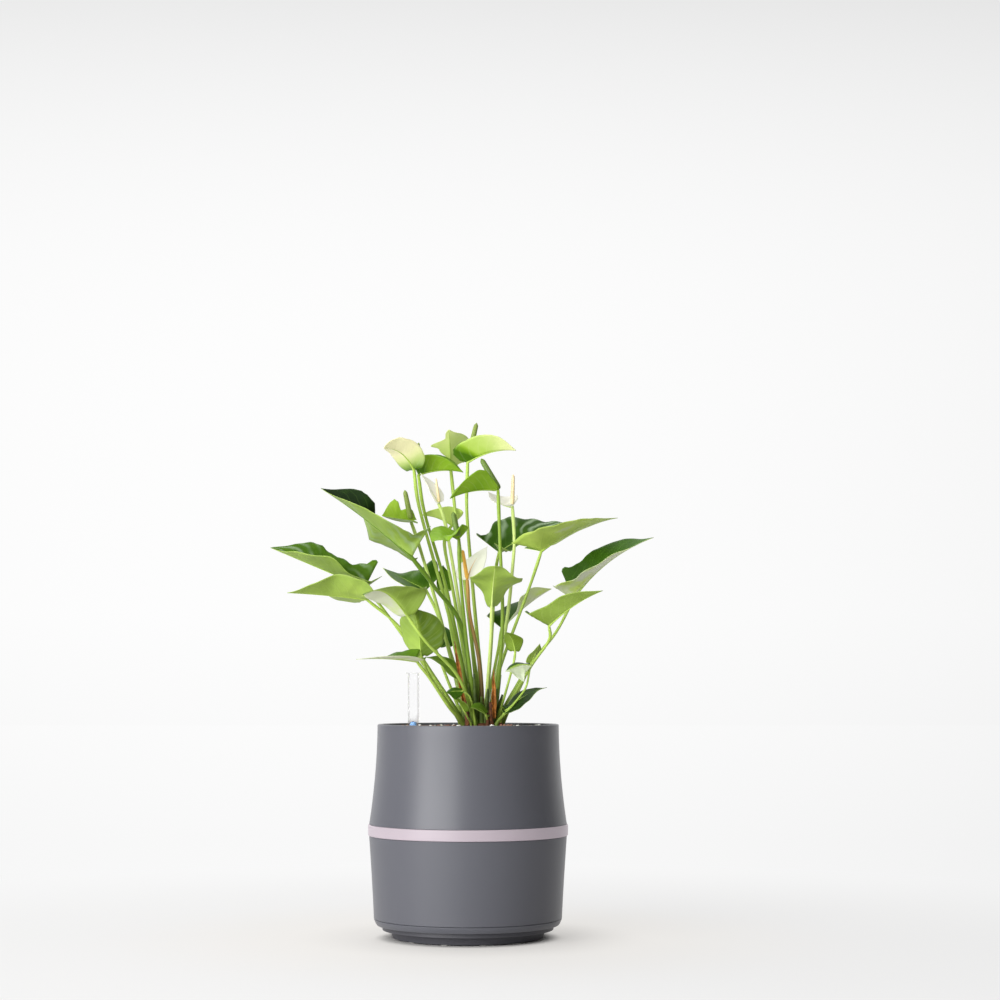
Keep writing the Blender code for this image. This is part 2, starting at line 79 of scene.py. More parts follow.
# %% Sockets that add and multiply
def sign(operation, last=False):
    """What an arithmetic sign does to a wire: it adds a Math node."""
    return lambda wire, *others: wire.math(operation, *others, last=last)


class Wire:
    """The output of a node, ready to be used in a sum."""

    __add__ = __radd__ = sign("ADD")
    __mul__ = __rmul__ = sign("MULTIPLY")
    __sub__, __rsub__ = sign("SUBTRACT"), sign("SUBTRACT", last=True)
    __pow__, __abs__ = sign("POWER"), sign("ABSOLUTE")

    def __init__(self, finish, socket):
        self.finish, self.socket = finish, socket

    def math(self, operation, *others, last=False):
        """A Math node on this wire; `last` puts the wire after the others, as in 1 - wire."""
        values = (*others, self) if last else (self, *others)
        return self.finish.node("Math", values, operation=operation)

    def band(self, start, end, low=0, high=1):
        """Eased from low to high as the value goes from start to end."""
        return self.finish.node("MapRange", {0: self, 1: start, 2: end, 3: low, 4: high},
                                interpolation_type="SMOOTHSTEP")


print("signs that add nodes: + - * ** and abs")

# %% One material at a time
class Finish:
    """A material being written; constants go straight to the shader's sockets."""

    def __init__(self, name, **constants):
        self.material = bpy.data.materials.new(name)
        self.material.use_nodes = True
        self.tree = self.material.node_tree
        self.shader = self.tree.nodes["Principled BSDF"]
        for key, value in constants.items():
            socket = key.replace("_", " ").title().replace("Ior", "IOR")
            self.shader.inputs[socket].default_value = value

    def node(self, kind, sockets=(), output=0, stops=None, **settings):
        """Add a node, give its sockets values or links, and return one of its outputs."""
        node = self.tree.nodes.new("ShaderNode" + kind)
        for key, value in settings.items():
            setattr(node, key, value)
        if stops:
            ramp = node.color_ramp.elements
            while len(ramp) < len(stops):
                ramp.new(1)
            for element, (place, colour) in zip(ramp, stops):
                element.position, element.color = place, colour
        pairs = sockets.items() if isinstance(sockets, dict) else enumerate(sockets)
        for key, value in pairs:
            self.feed(node.inputs[key], value)
        return Wire(self, node.outputs[output])

    def feed(self, socket, value):
        if isinstance(value, Wire):
            self.tree.links.new(value.socket, socket)
        else:
            socket.default_value = value

    def set(self, name, value):
        self.feed(self.shader.inputs[name], value)

    def attribute(self, name):
        return self.node("Attribute", attribute_name=name, output=2)

    def noise(self, scale, detail=2, rough=.5):
        """Noise on Object coordinates, about `scale` blotches a metre."""
        place = self.node("TexCoord", output=3)
        return self.node("TexNoise", {"Vector": place, "Scale": scale, "Detail": detail,
                                      "Roughness": rough})

    def blend(self, factor, first, second):
        return self.node("Mix", {0: factor, 6: first, 7: second}, output=2, data_type="RGBA")

    def ramp(self, factor, *stops):
        """A colour ramp; each stop is its place, then red, green and blue of `tint`."""
        stops = [(place, tint(*colour)) for place, *colour in stops]
        return self.node("ValToRGB", {0: factor}, stops=stops)

    def bump(self, height, strength, distance):
        """Relief in the shading; the distance is in millimetres."""
        self.set("Normal", self.node("Bump", {"Height": height, "Strength": strength,
                                              "Distance": distance * MM}))

    def scaled(self, colour, share):
        """The colour times a number; a Math node would turn it grey."""
        return self.node("VectorMath", {0: colour, 3: share}, operation="SCALE")


print("materials before the first finish:", len(bpy.data.materials))

# %% Colours as they are seen
def tint(red, green, blue):
    """A shader colour from the 0 to 255 values of a screen."""
    def linear(value):
        c = value / 255
        return c / 12.92 if c <= .04045 else ((c + .055) / 1.055) ** 2.4
    return (linear(red), linear(green), linear(blue), 1)


print("mid grey is", round(tint(128, 128, 128)[0], 3))

# %% [markdown]
# ## Floor, background and light
# The floor is plain and pale. Round the foot it is a real surface that takes the pot's
# shadow; further out it fades into the same near white as the world, so no horizon shows.
# The white is brightest behind the plant and falls off a little upwards and sideways.
# Only what the camera or a clear piece sees is changed that way, and on the floor also
# what a reflection sees: the light on the plant stays at its plain level. Each falloff
# stops at a limit, so that the background stays pale from the back and sides too.

# %% Backdrop tone
def seen_directly(finish, *paths):
    """1 for rays of the given kinds, else 0; 0 camera, 3 gloss, 6 through something clear."""
    wires = [finish.node("LightPath", output=k) for k in paths]
    total = wires[0]
    for wire in wires[1:]:
        total = total.math("MAXIMUM", wire)
    return total


BRIGHTEST = .985


def backdrop(finish, heading):
    """The grey level of the background along a direction from the camera's place."""
    across, up = (finish.node("SeparateXYZ", {0: heading}, output=k) for k in (0, 2))
    high = (up - .10).math("MAXIMUM", 0)
    low = (.03 - up).math("MAXIMUM", 0)
    aside = (across + .08) * (across + .08) * .6
    return (BRIGHTEST - (high * high * high * 20).math("MINIMUM", .20)
            - (low * .5).math("MINIMUM", .05) - aside.math("MINIMUM", .06))


print("background at its brightest:", BRIGHTEST)

# %% [markdown]
# The floor mixes two things by how far a point lies from the pot: the real surface, and
# a glow as pale as the background. Under the pot nothing glows. In three steps, close
# round the foot, across the shadow and further out, the glow takes over. Near the pot the
# glow is a little warm, a painted warm tint for the pot's shadow.

# %% Floor
bm = bmesh.new()
bmesh.ops.create_grid(bm, x_segments=1, y_segments=1, size=12)
mesh = bpy.data.meshes.new("floor")
bm.to_mesh(mesh)
bm.free()
floor = bpy.data.objects.new("floor", mesh)
bpy.context.collection.objects.link(floor)
WHITE, BLACK = (1, 1, 1, 1), (0, 0, 0, 1)
ground = Finish("floor", base_color=(.60, .585, .57, 1), roughness=.9)
place = ground.node("TexCoord", output=3)
sight = ground.node("VectorMath", {0: place, 1: camera.location}, operation="SUBTRACT")
sight = ground.node("VectorMath", {0: sight}, operation="NORMALIZE")
depth = ground.node("SeparateXYZ", {0: place}, output=1)
away = ground.node("VectorMath", {0: place}, operation="LENGTH", output=1)
# a painted warm tint round the pot, for the colour of its shadow
warm = ground.blend(away.band(.45, .10), WHITE, (1, .975, .94, 1))
level = backdrop(ground, sight) * depth.band(-.1, .45, 1.0, 1.01)
glow = ground.node("Emission", {"Color": ground.scaled(warm, level)})
share = (away.band(.083, .105, 0, .50) + away.band(.105, .20, 0, .23)
         + away.band(.20, 1.0, 0, .27))
out = ground.tree.nodes["Material Output"].inputs["Surface"]
ground.feed(out, ground.node("MixShader", {0: share * seen_directly(ground, 0, 3, 6),
                                           1: Wire(ground, ground.shader.outputs[0]),
                                           2: glow}))
mesh.materials.append(ground.material)
print("the floor is", floor.dimensions.x, "metres wide")

# %% [markdown]
# The world lights the plant too. Its light, as opposed to what is seen of it, is dim in
# front and bright behind the plant, as a pale studio wall is.

# %% World
world = bpy.data.worlds.new("studio")
bpy.context.scene.world = world
world.use_nodes = True
sky = Finish.__new__(Finish)
sky.tree = world.node_tree
light = sky.tree.nodes["Background"]
FRONT, BACK = .16, 1.28
heading = sky.node("TexCoord", output=0)
around = sky.node("SeparateXYZ", {0: heading}, output=1).band(.3, .9, FRONT, BACK)
direct = seen_directly(sky, 0, 6)
level = direct * backdrop(sky, heading) + (1 - direct) * around
sky.feed(light.inputs["Color"], sky.scaled(WHITE[:3], level))
print("world", FRONT, "in front,", BACK, "behind")

# %% Lamps
LAMPS = {
    # name: (place, aim, width, height, watts)
    "key": ((-1.30, -1.80, .80), (0, 0, .70), 1.9, 1.6, 64),
    "top": ((-.3, -.3, 1.9), (0, 0, .35), 1.6, 1.6, 16),
    "back": ((-.5, 1.1, 1.9), (0, 0, .4), 1.4, 1.0, 11),
    "fill": ((-1.5, -1.1, .25), (0, 0, .06), .9, .6, 6),
}
for name, (place, aim, width, height, watts) in LAMPS.items():
    data = bpy.data.lights.new(name, "AREA")
    data.shape, data.size, data.size_y, data.energy = "RECTANGLE", width, height, watts
    lamp = bpy.data.objects.new(name, data)
    lamp.location = place
    lamp.rotation_euler = (Vector(aim) - Vector(place)).to_track_quat("-Z", "Y").to_euler()
    bpy.context.collection.objects.link(lamp)
print(len(LAMPS), "lamps")

# %% [markdown]
# ## Turned pieces
# Shells, band, foot and gauge are round, as a potter or a moulder would make them. Each
# is a closed outline of radii and heights, spun once round the pot's axis. A Screw
# modifier would turn it as well, but a spun bmesh can be added to, as the foot's pads
# are. On the pot and its foot a Bevel modifier then breaks the hard edges, which catch the
# light as real moulded edges do.

# %% Finish a piece
def finish_piece(name, bm, materials, slot, *nodes, smooth=30):
    """Turn a bmesh in metres into a piece that rides on the pot."""
    mesh = bpy.data.meshes.new(name)
    bm.to_mesh(mesh)
    bm.free()
    for item in materials:
        mesh.materials.append(item.material)
    mesh.shade_smooth()
    if smooth:
        mesh.set_sharp_from_angle(angle=radians(smooth))
    piece = bpy.data.objects.new(name, mesh)
    bpy.context.collection.objects.link(piece)
    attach(piece, "root")
    if nodes:
        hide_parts(*nodes)
    return piece


print("pieces of the solid model:", len(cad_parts))

# %% Spin an outline
STEPS = 144


def spin_outline(bm, outline, steps=STEPS, centre=(0, 0)):
    """A closed outline of (radius, height) turned round a vertical axis."""
    x, y = centre
    verts = [bm.verts.new(((x + r) * MM, y * MM, z * MM)) for r, z in outline]
    edges = [bm.edges.new(pair) for pair in zip(verts, verts[1:] + verts[:1])]
    bmesh.ops.spin(bm, geom=verts + edges, cent=(x * MM, y * MM, 0), axis=(0, 0, 1),
                   angle=2 * pi, steps=steps, use_merge=True)
    bmesh.ops.remove_doubles(bm, verts=bm.verts, dist=1e-6)
    bmesh.ops.recalc_face_normals(bm, faces=bm.faces)


def bevel_edges(piece, width, segments=3, angle=35):
    """Round every edge sharper than the angle."""
    step = piece.modifiers.new("edges", "BEVEL")
    step.width, step.segments = width * MM, segments
    step.limit_method, step.angle_limit = "ANGLE", radians(angle)
    step.harden_normals = False


def turned(name, outline, finish, slot, node, rounding, segments=3):
    """A piece of one finish, spun from its outline, with its edges rounded."""
    bm = bmesh.new()
    spin_outline(bm, outline)
    piece = finish_piece(name, bm, [finish], slot, node)
    bevel_edges(piece, rounding, segments)
    print(name, "has", len(piece.data.polygons), "faces")


print("a full turn has", STEPS, "steps, unless a small piece needs fewer")

# %% [markdown]
# ## Finishes of the pot
# The shells are moulded in grey plastic with a fine matte grain. The band is the same
# plastic in a pale pinkish lilac, smoother, and it glows a little: pale plastic lets light
# through, and a faint emission is the cheap way to show it, a painted light that also lifts
# the band's shaded side. The pads are pale rubber.

# %% Plastic with a grain
def moulded(name, colour, roughness, grain=.05, depth=.03, **constants):
    """Plastic or rubber; `grain` is how far its colour varies, `depth` its relief in mm."""
    finish = Finish(name, roughness=roughness, specular_ior_level=.37, **constants)
    fine, broad = finish.noise(1400, 3, .6), finish.noise(9, 2)
    shade = (broad - .5) * grain + (fine - .5) * grain + 1
    finish.set("Base Color", finish.scaled(tint(*colour)[:3], shade))
    finish.set("Roughness", (broad - .5) * .12 + roughness)
    finish.bump(fine, .35, depth)
    return finish


grey = moulded("grey_plastic", (89, 90, 97), .37)
# the band's emission is painted light that evens out its lit and shaded sides
lilac = moulded("lilac_plastic", (152, 142, 149), .38, .02, .01,
                emission_color=tint(180, 168, 177), emission_strength=.34)
dark = moulded("dark_plastic", (69, 69, 75), .5)
pale_rubber = moulded("pale_rubber", (122, 121, 118), .6)
black = moulded("black_plastic", (38, 38, 40), .5)
print("five finishes for the pot, with", len(grey.tree.nodes), "nodes each")

# %% [markdown]
# ## The pot
# The pot swells from its foot to the band and draws in again to the rim, in two shells
# that meet under the band. A power of the height gives each shell its curve.

# %% Outline of the shells
SEAM_R, WIDEST_R, RIM_R = 103.4, 109.0, 100.3
SEAM_Z, BAND_Z, RIM_Z = 21.7, (111.7, 123.7), 233.3
LOWER_CURVE, UPPER_CURVE = 1.15, 1.9
WALL = 3


def upper_radius(z):
    return RIM_R + (WIDEST_R - RIM_R) * ((RIM_Z - z) / (RIM_Z - BAND_Z[1])) ** UPPER_CURVE


def lower_radius(z):
    return SEAM_R + (WIDEST_R - SEAM_R) * ((z - SEAM_Z) / (BAND_Z[0] - SEAM_Z)) ** LOWER_CURVE


print("radius halfway up each shell:", round(lower_radius(67), 1), round(upper_radius(178), 1))

# %% Foot with its pads
bm = bmesh.new()
spin_outline(bm, [(0, 0), (14, 0), (15, 10.5), (73.7, 10.5), (75.7, 1), (82.7, 1),
                  (85.5, 9), (94, 9.4), (94, 14.2), (0, 14.2)])
PADS, PAD_R = 12, 79.4
for k in range(PADS):
    turn = Matrix.Rotation(2 * pi * (k + .43) / PADS, 4, "Z")
    place = turn @ Matrix.Translation((0, -PAD_R * MM, .9 * MM)) @ Matrix.Diagonal(
        (7 * MM, 5.4 * MM, 1.8 * MM, 1))
    pad = bmesh.ops.create_cube(bm, size=1, matrix=place)["verts"]
    for face in {f for v in pad for f in v.link_faces}:
        face.material_index = 1
foot = finish_piece("foot", bm, [dark, pale_rubber], "foot", "base_foot")
bevel_edges(foot, .35)
print("foot with", PADS, "pads")

# %% Lower lip and lower shell
turned("lower_lip", [(55, 14.5), (100, 14.5), (101.2, 16.2), (103.2, 20.6), (103.2, 21.4),
                     (55, 21.4)], grey, "pot_shell", "reservoir_base", .4)
levels = np.linspace(SEAM_Z + .1, BAND_Z[0] - .3, 12)
turned("lower_shell", [(0, 23.8), (98, 23.8), (99.5, 21.8)]
       + [(lower_radius(z), z) for z in levels]
       + [(lower_radius(z) - WALL, z) for z in levels[:0:-1]] + [(98, 27), (0, 27)],
       grey, "pot_shell", "reservoir_shell", .45)

# %% Band
low, high = BAND_Z
turned("band", [(105.5, low), (109.7, low), (110.2, low + .6), (110.2, high - .6),
                (109.7, high), (105.5, high)], lilac, "trim_band", "trim_band", .3)

# %% Upper shell
levels = np.linspace(BAND_Z[1] + .3, RIM_Z - 1.6, 14)
turned("upper_shell", [(102.5, 100), (105.1, 100), (105.1, 124)]
       + [(upper_radius(z), z) for z in levels]
       + [(100.2, 232.5), (99.7, 233.1), (98.9, RIM_Z), (98.1, 233.1), (97.5, 232.4),
          (97.3, 231.7), (upper_radius(217) - WALL, 217), (94, 217), (94, 213)]
       + [(upper_radius(z) - WALL, z) for z in (170, 132)] + [(102.5, 127)],
       grey, "pot_shell", "planter_shell", .3, 2)

# %% [markdown]
# The liner inside the pot is hidden by the mix. It stays as the solid model has it and
# only gets a finish.

# %% Liner
def dress(node, finish):
    """Give a node of the solid model a finish and return it."""
    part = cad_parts[node]
    for slot in part.material_slots:
        slot.material = finish.material
    return part


liner = dress("grow_liner", black)
print("liner keeps", len(liner.data.polygons), "faces")

# %% [markdown]
# ## Water gauge
# A clear tube stands in the mix and ends in a small flare. Inside it a blue float shows
# how much water is left; it just shows above the rim. The tube's wall is thin and real,
# so it bends light only a little: part of it is glass and part simply lets light pass.

# %% Gauge finishes
clear = Finish("clear_tube", base_color=(.97, .97, .975, 1), roughness=.18, ior=1.2,
               transmission_weight=1.0, alpha=.32)
blue = moulded("blue_float", (126, 176, 232), .35, .05, .01)
deep_blue = moulded("blue_cap", (66, 112, 172), .35, .05, .01)
print("the tube lets", 1 - clear.shader.inputs["Alpha"].default_value, "straight through")

# %% Gauge tube
GAUGE = (-59, -42)
bm = bmesh.new()
spin_outline(bm, [(2, 27.4), (6.3, 27.4), (6.3, 287.6), (6.9, 288.4), (8.3, 288.9), (8.5, 289.5),
                  (8.2, 290), (5.6, 289.6), (5.3, 288.6), (5.3, 28.9), (2, 28.9)], 48, GAUGE)
tube = finish_piece("gauge_tube_clear", bm, [clear], "clear_tube", "gauge_tube")
print("tube", round(tube.dimensions.z / MM), "mm tall, at", GAUGE)

# %% Gauge float
bm = bmesh.new()
spin_outline(bm, [(0, 33), (4.6, 33.6), (4.6, 60), (1.2, 62), (1.2, 226), (3.6, 224.6),
                  (3.8, 226), (3.8, 234), (3.2, 236), (0, 237.4)], 32, GAUGE)
for face in bm.faces:
    if face.calc_center_median().z > 235 * MM:
        face.material_index = 1
float_piece = finish_piece("gauge_float_blue", bm, [blue, deep_blue], "float", "gauge_float")
print("float", round(float_piece.dimensions.z / MM), "mm tall")

# %% [markdown]
# ## Growing mix
# The mix is loose: brown and reddish grains of a few millimetres, with pale pebbles on
# top. The solid below stays, and hundreds of small rough grains are strewn over it. A
# particle system would strew them too, but it leaves no mesh of its own. Each grain is a
# coarse ball, because nobody looks at one alone. The mix is heaped a little
# round the clump, where the plant grows off the pot's centre.

# %% Grain finish
soil = Finish("grains", roughness=.9)
grain_tone = soil.attribute("tone")
speck = soil.noise(900, 2)
soil.set("Base Color", soil.ramp(grain_tone + (speck - .5) * .25,
                                 (0, 44, 30, 24), (.3, 92, 62, 44), (.55, 138, 92, 72),
                                 (.75, 168, 122, 104), (.88, 196, 172, 150),
                                 (.93, 226, 222, 212), (1, 242, 240, 234)))
soil.bump(soil.noise(500, 3, .6), .5, .3)
mix = dress("substrate", soil)
print("the mix below keeps", len(mix.data.polygons), "faces")

# %% One grain
chance = random.Random(11)
scratch = bpy.data.meshes.new("one grain")


def add_grain(pile, x, y, z, size, tone, flat=.75):
    """One rough ball, squashed and turned at random, dropped on the pile."""
    turn = Matrix.Rotation(chance.uniform(0, 6.3), 4, Vector(
        (chance.uniform(-1, 1), chance.uniform(-1, 1), chance.uniform(-1, 1))).normalized())
    shape = Matrix.Diagonal((size * MM, size * chance.uniform(.7, 1) * MM, size * flat * MM, 1))
    one = bmesh.new()
    tone_layer = one.verts.layers.float.new("tone")
    for vert in bmesh.ops.create_uvsphere(one, u_segments=7, v_segments=5, radius=.5)["verts"]:
        vert.co *= chance.uniform(.88, 1.08)
        vert[tone_layer] = tone
    bmesh.ops.transform(one, matrix=Matrix.Translation((x * MM, y * MM, z * MM)) @ turn @ shape,
                        verts=one.verts)
    one.to_mesh(scratch)
    one.free()
    pile.from_mesh(scratch)


def chance_place(reach):
    """A place anywhere on a disc: its radius, then x and y."""
    r, a = reach * chance.random() ** .5, chance.uniform(0, 2 * pi)
    return r, r * cos(a), r * sin(a)


def from_gauge(x, y):
    return hypot(x - GAUGE[0], y - GAUGE[1])


print("tones run from 0, dark, to 1, a white pebble")

# %% Strew the grains
SOIL_Z, SOIL_R = 227, 96
CLUMP, HEAP_R, HEAP_H = (15, -5), 45, 3
GRAINS, PALEST_GRAIN, TUBE_R = 1150, .88, 6.5
bm = bmesh.new()
count = 0
while count < GRAINS:
    r, x, y = chance_place(SOIL_R)
    size = chance.uniform(4.5, 9)
    if r > SOIL_R - size / 2 or from_gauge(x, y) < TUBE_R + size / 2:
        continue
    heap = HEAP_H * max(0, 1 - hypot(x - CLUMP[0], y - CLUMP[1]) / HEAP_R)
    z = SOIL_Z + chance.uniform(-1, 1.5) + heap
    tone = min(PALEST_GRAIN, max(0, chance.gauss(.42, .2)))
    add_grain(bm, x, y, z, size, tone)
    count += 1
print(count, "grains")

# %% Pale pebbles
PEBBLES, PEBBLE_Z, PEBBLE_GAP = 70, SOIL_Z + 1.8, 12
for _ in range(PEBBLES):
    _, x, y = chance_place(88)
    if from_gauge(x, y) >= PEBBLE_GAP:
        add_grain(bm, x, y, PEBBLE_Z, chance.uniform(5, 8), chance.uniform(.93, 1), .8)
# a few that stand higher show over the front rim, beside four brown grains
for x, y, z, size in ((-50, -70, 229.7, 8), (-44, -64, 229.4, 7), (-9, -72, 230.4, 8),
                      (27, -70, 230.6, 8), (54, -60, 230.2, 8), (78, -30, 230.6, 7)):
    add_grain(bm, x, y, z, size, 1, .85)
for x in (36, 40, 44, 47):
    add_grain(bm, x, -30, 232, 4.5, .7)
bpy.data.meshes.remove(scratch)
grains = finish_piece("grains", bm, [soil], "growing_mix")
print("the loose mix has", len(grains.data.polygons), "faces")

# %% [markdown]
# ## How a blade is shaped
# A blade starts as a flat grid. A bowed midrib carries it from its base to its tip, an
# outline gives the width on the way, and each half is raised or hung by an angle that
# changes along the blade. Solidify then gives the sheet its thickness. A blade could be
# sculpted, but a few numbers can be read, compared and changed. The stalk is a ring of
# edges, extruded again and again along a smooth path, and it runs on under the blade as
# the midrib.
#
# A blade is written as a few words. `PLAIN` has the usual value of each:
# - `rise` is how far the midrib bows, in mm, and `skew` moves the bow towards the base.
# - `right` and `left` raise (+) or hang (-) the halves, in degrees. These and the next two
#   are read at even stations from base to tip.
# - `wide_right` and `wide_left` multiply the outline's width.
# - `rake_right` and `rake_left` slide the margin towards the tip (+), as shares of the length.
# - `lobe` is how far the back lobes reach behind the base, as a share of the length, and
#   `lift` is how steeply they rise, in degrees. A pair gives the right and the left one.
# - `wave` is the height of the margin's ripples in mm, and `waves` their number.
# - `top` and `under` pick a tone, 0 dark to 1 pale, for the two faces; a pair is the left
#   and the right half. A tone is partly the face's own colour and partly painted light and
#   shade, paler where light falls on a face and darker where it lies in shade. `painted_shade` is
#   painted shade: it darkens the left and the right half near the base.
# - `cream` is how creamy a spathe gets, and the two places between which it turns so.
# - `painted_sheen` is a painted sheen: it lays pale streaks of reflection on the upper face, or on
#   the lower one when negative.
# - `stem` is the stalk's radius in mm, `stalk` its tone and `thick` the blade's thickness.

# %% Smooth paths and eased values
def smooth_path(points, count):
    """Places evenly shared along a smooth curve through the points."""
    p = [np.array(q, float) for q in points]
    p = [2 * p[0] - p[1]] + p + [2 * p[-1] - p[-2]]
    curve = [.5 * (2 * b + (c - a) * t + (2 * a - 5 * b + 4 * c - d) * t * t
                   + (3 * b - a - 3 * c + d) * t ** 3)
             for a, b, c, d in zip(p, p[1:], p[2:], p[3:]) for t in np.arange(0, 1, 1 / 16)]
    curve = np.array(curve + [p[-2]])
    run = np.concatenate([[0], np.cumsum(np.linalg.norm(np.diff(curve, axis=0), axis=1))])
    want = np.linspace(0, run[-1], count)
    return np.stack([np.interp(want, run, curve[:, k]) for k in range(3)], axis=1)


def eased(keys, t):
    """Values at even stations, eased from one to the next."""
    x = min(max(t, 0), 1) * (len(keys) - 1)
    i = min(int(x), len(keys) - 2)
    f = x - i
    return keys[i] + (keys[i + 1] - keys[i]) * f * f * (3 - 2 * f)


def unit(v):
    return v / np.linalg.norm(v)


print("halfway between 0 and 10:", eased((0, 10), .5))

# %% Midrib
class Midrib:
    """A bowed line from base to tip with a level side direction carried along it."""

    FRAMES = 40

    def __init__(self, base, tip, rise, skew, lift):
        self.base, self.tip = np.array(base, float), np.array(tip, float)
        chord = self.tip - self.base
        self.length, self.lift = np.linalg.norm(chord), radians(lift)
        along = chord / self.length
        up = np.array((0, 0, 1.)) if abs(along[2]) < .96 else np.array((0, -1., 0))
        side = unit(np.cross(along, up))
        # a cubic curve rises by 3/4 of what its two middle points do
        off = np.cross(side, along) * rise * 4 / 3
        self.ctrl = [self.base, self.base + chord / 3 + off * (1 + skew),
                     self.base + chord * 2 / 3 + off * (1 - skew), self.tip]
        self.frames = []
        for t in np.linspace(0, 1, self.FRAMES + 1):
            a, b, c, d = self.ctrl
            ahead = unit((b - a) * (1 - t) ** 2 + 2 * (c - b) * t * (1 - t) + (d - c) * t * t)
            side = unit(side - ahead * side.dot(ahead))
            self.frames.append((ahead, side))

    def at(self, t):
        """Place, side and upper directions at t; below 0 it runs out into the back lobes."""
        a, b, c, d = self.ctrl
        u = min(max(t, 0), 1)
        place = (a * (1 - u) ** 3 + 3 * b * u * (1 - u) ** 2 + 3 * c * u * u * (1 - u)
                 + d * u ** 3)
        i = min(int(u * self.FRAMES), self.FRAMES - 1)
        f = u * self.FRAMES - i
        ahead = unit(self.frames[i][0] * (1 - f) + self.frames[i + 1][0] * f)
        side = unit(self.frames[i][1] * (1 - f) + self.frames[i + 1][1] * f)
        if t < 0:
            level = unit(ahead * (1, 1, 0))
            place = self.base + self.length * t * (level * cos(self.lift)
                                                   - np.array((0, 0, 1)) * sin(self.lift))
        return place, side, np.cross(side, ahead)


level_rib = Midrib((0, 0, 0), (90, 0, 0), 6, 0, 0)
print("a midrib with a rise of 6 stands", round(float(level_rib.at(.5)[0][2]), 2), "mm high")

# %% Outlines and usual values
LEAF_OUTLINE = ((0, .36), (.05, .70), (.12, .92), (.22, 1), (.35, .98), (.50, .86),
                (.65, .66), (.80, .40), (.90, .17), (1, 0))
SPATHE_OUTLINE = ((0, .36), (.06, .74), (.16, .98), (.28, 1), (.45, .94), (.62, .75),
                  (.80, .44), (.92, .16), (1, 0))
PLAIN = dict(rise=4, skew=0, right=(20, 20), left=(20, 20), wide_right=(1, 1), wide_left=(1, 1),
             rake_right=(0, 0), rake_left=(0, 0), lobe=.1, lift=35, wave=0, waves=3, top=.4,
             under=(.6, .6), painted_shade=(0, 0), cream=(0, 0, 1), painted_sheen=0, stem=1.7, stalk=.6,
             thick=.5)


def half_width(outline, u):
    """The outline's share of the half width at u, averaged so that it has no corners."""
    at, share = zip(*outline)
    spread = .04 * min(1, (1 - u) / .04)
    return float(np.mean([np.interp(u + k * spread / 3, at, share) for k in range(-3, 4)]))


print("outlines have", len(LEAF_OUTLINE), "and", len(SPATHE_OUTLINE), "stations")

# %% A place on the blade
def blade_point(rib, spec, outline, u, v):
    """u runs to the tip and v from the left margin, -1, to the right one, 1, in mm."""
    across = abs(v)
    half, sign, phase = ("left", -1, 0) if v < 0 else ("right", 1, .37)
    lobe = np.broadcast_to(spec["lobe"], 2)[0 if half == "right" else 1]
    rake = eased(spec["rake_" + half], u)
    place, side, upper = rib.at(u - lobe * (1 - u) ** 3 * across ** 1.5 + rake * across)
    reach = spec["width"] / 2 * half_width(outline, u) * eased(spec["wide_" + half], u)
    lean = radians(eased(spec[half], u))
    # the ripples grow towards the margin, fade at the tip and differ from half to half
    ripple = (spec["wave"] * across ** 2 * min(1, 4 * (1 - u))
              * sin(2 * pi * (spec["waves"] * u + phase)))
    return (place + side * reach * across * cos(lean) * sign
            + upper * (reach * across * sin(lean) + ripple))


flat = {**PLAIN, "width": 60, "right": (0, 0)}
print("widest margin of a flat blade at y", round(float(blade_point(
    level_rib, flat, LEAF_OUTLINE, .22, 1)[1])), "mm")

# %% Blade
LAYERS = ("along", "across", "tone", "top", "cream", "painted_sheen")
PAINTED_SHADE_REACH = .28


def plant_mesh():
    """An empty bmesh with the layers that the finishes read."""
    bm = bmesh.new()
    for layer in LAYERS:
        bm.verts.layers.float.new(layer)
    return bm


def add_blade(bm, spec, outline, rows, cols):
    """A thin sheet with its own upper (0) and lower (1) material; returns its midrib."""
    rib = Midrib(*(spec[key] for key in ("base", "tip", "rise", "skew", "lift")))
    layers = bm.verts.layers.float
    sheet = bmesh.ops.create_grid(bm, x_segments=rows, y_segments=cols, size=.5)["verts"]
    for vert in sheet:
        u, v = vert.co.x + .5, -2 * vert.co.y
        # the rows lie a little closer together towards the tip
        u = 1 - (1 - u) ** 1.1
        vert.co = Vector(blade_point(rib, spec, outline, u, v)) * MM
        vert[layers["along"]], vert[layers["across"]] = u, abs(v)
        # each face's tone, half by half, is partly its own colour and partly painted light and
        # shade
        share = min(1, max(0, .5 + v * 4))
        for layer, (low, high) in (("tone", spec["under"]),
                                   ("top", np.broadcast_to(spec["top"], 2))):
            vert[layers[layer]] = low * (1 - share) + high * share
        # painted shade: the tone is darkened towards the base
        vert[layers["tone"]] -= spec["painted_shade"][0 if v < 0 else 1] * max(0, 1 - u / PAINTED_SHADE_REACH)
        # the strength of the painted sheen, pale streaks of reflection
        vert[layers["painted_sheen"]] = spec["painted_sheen"]
        most, start, end = spec["cream"]
        vert[layers["cream"]] = eased((0, most), (u - start) / (end - start))
    faces = list({f for v in sheet for f in v.link_faces})
    bmesh.ops.remove_doubles(bm, verts=sheet, dist=1e-6)
    faces = [f for f in faces if f.is_valid]
    bm.normal_update()
    bmesh.ops.solidify(bm, geom=faces, thickness=spec["thick"] * MM)
    kept = set(faces)
    for face in bm.faces:
        if face not in kept:
            face.material_index = 1
    return rib


print("layers on every plant piece:", *LAYERS)

# %% Stalk
SIDES = 12


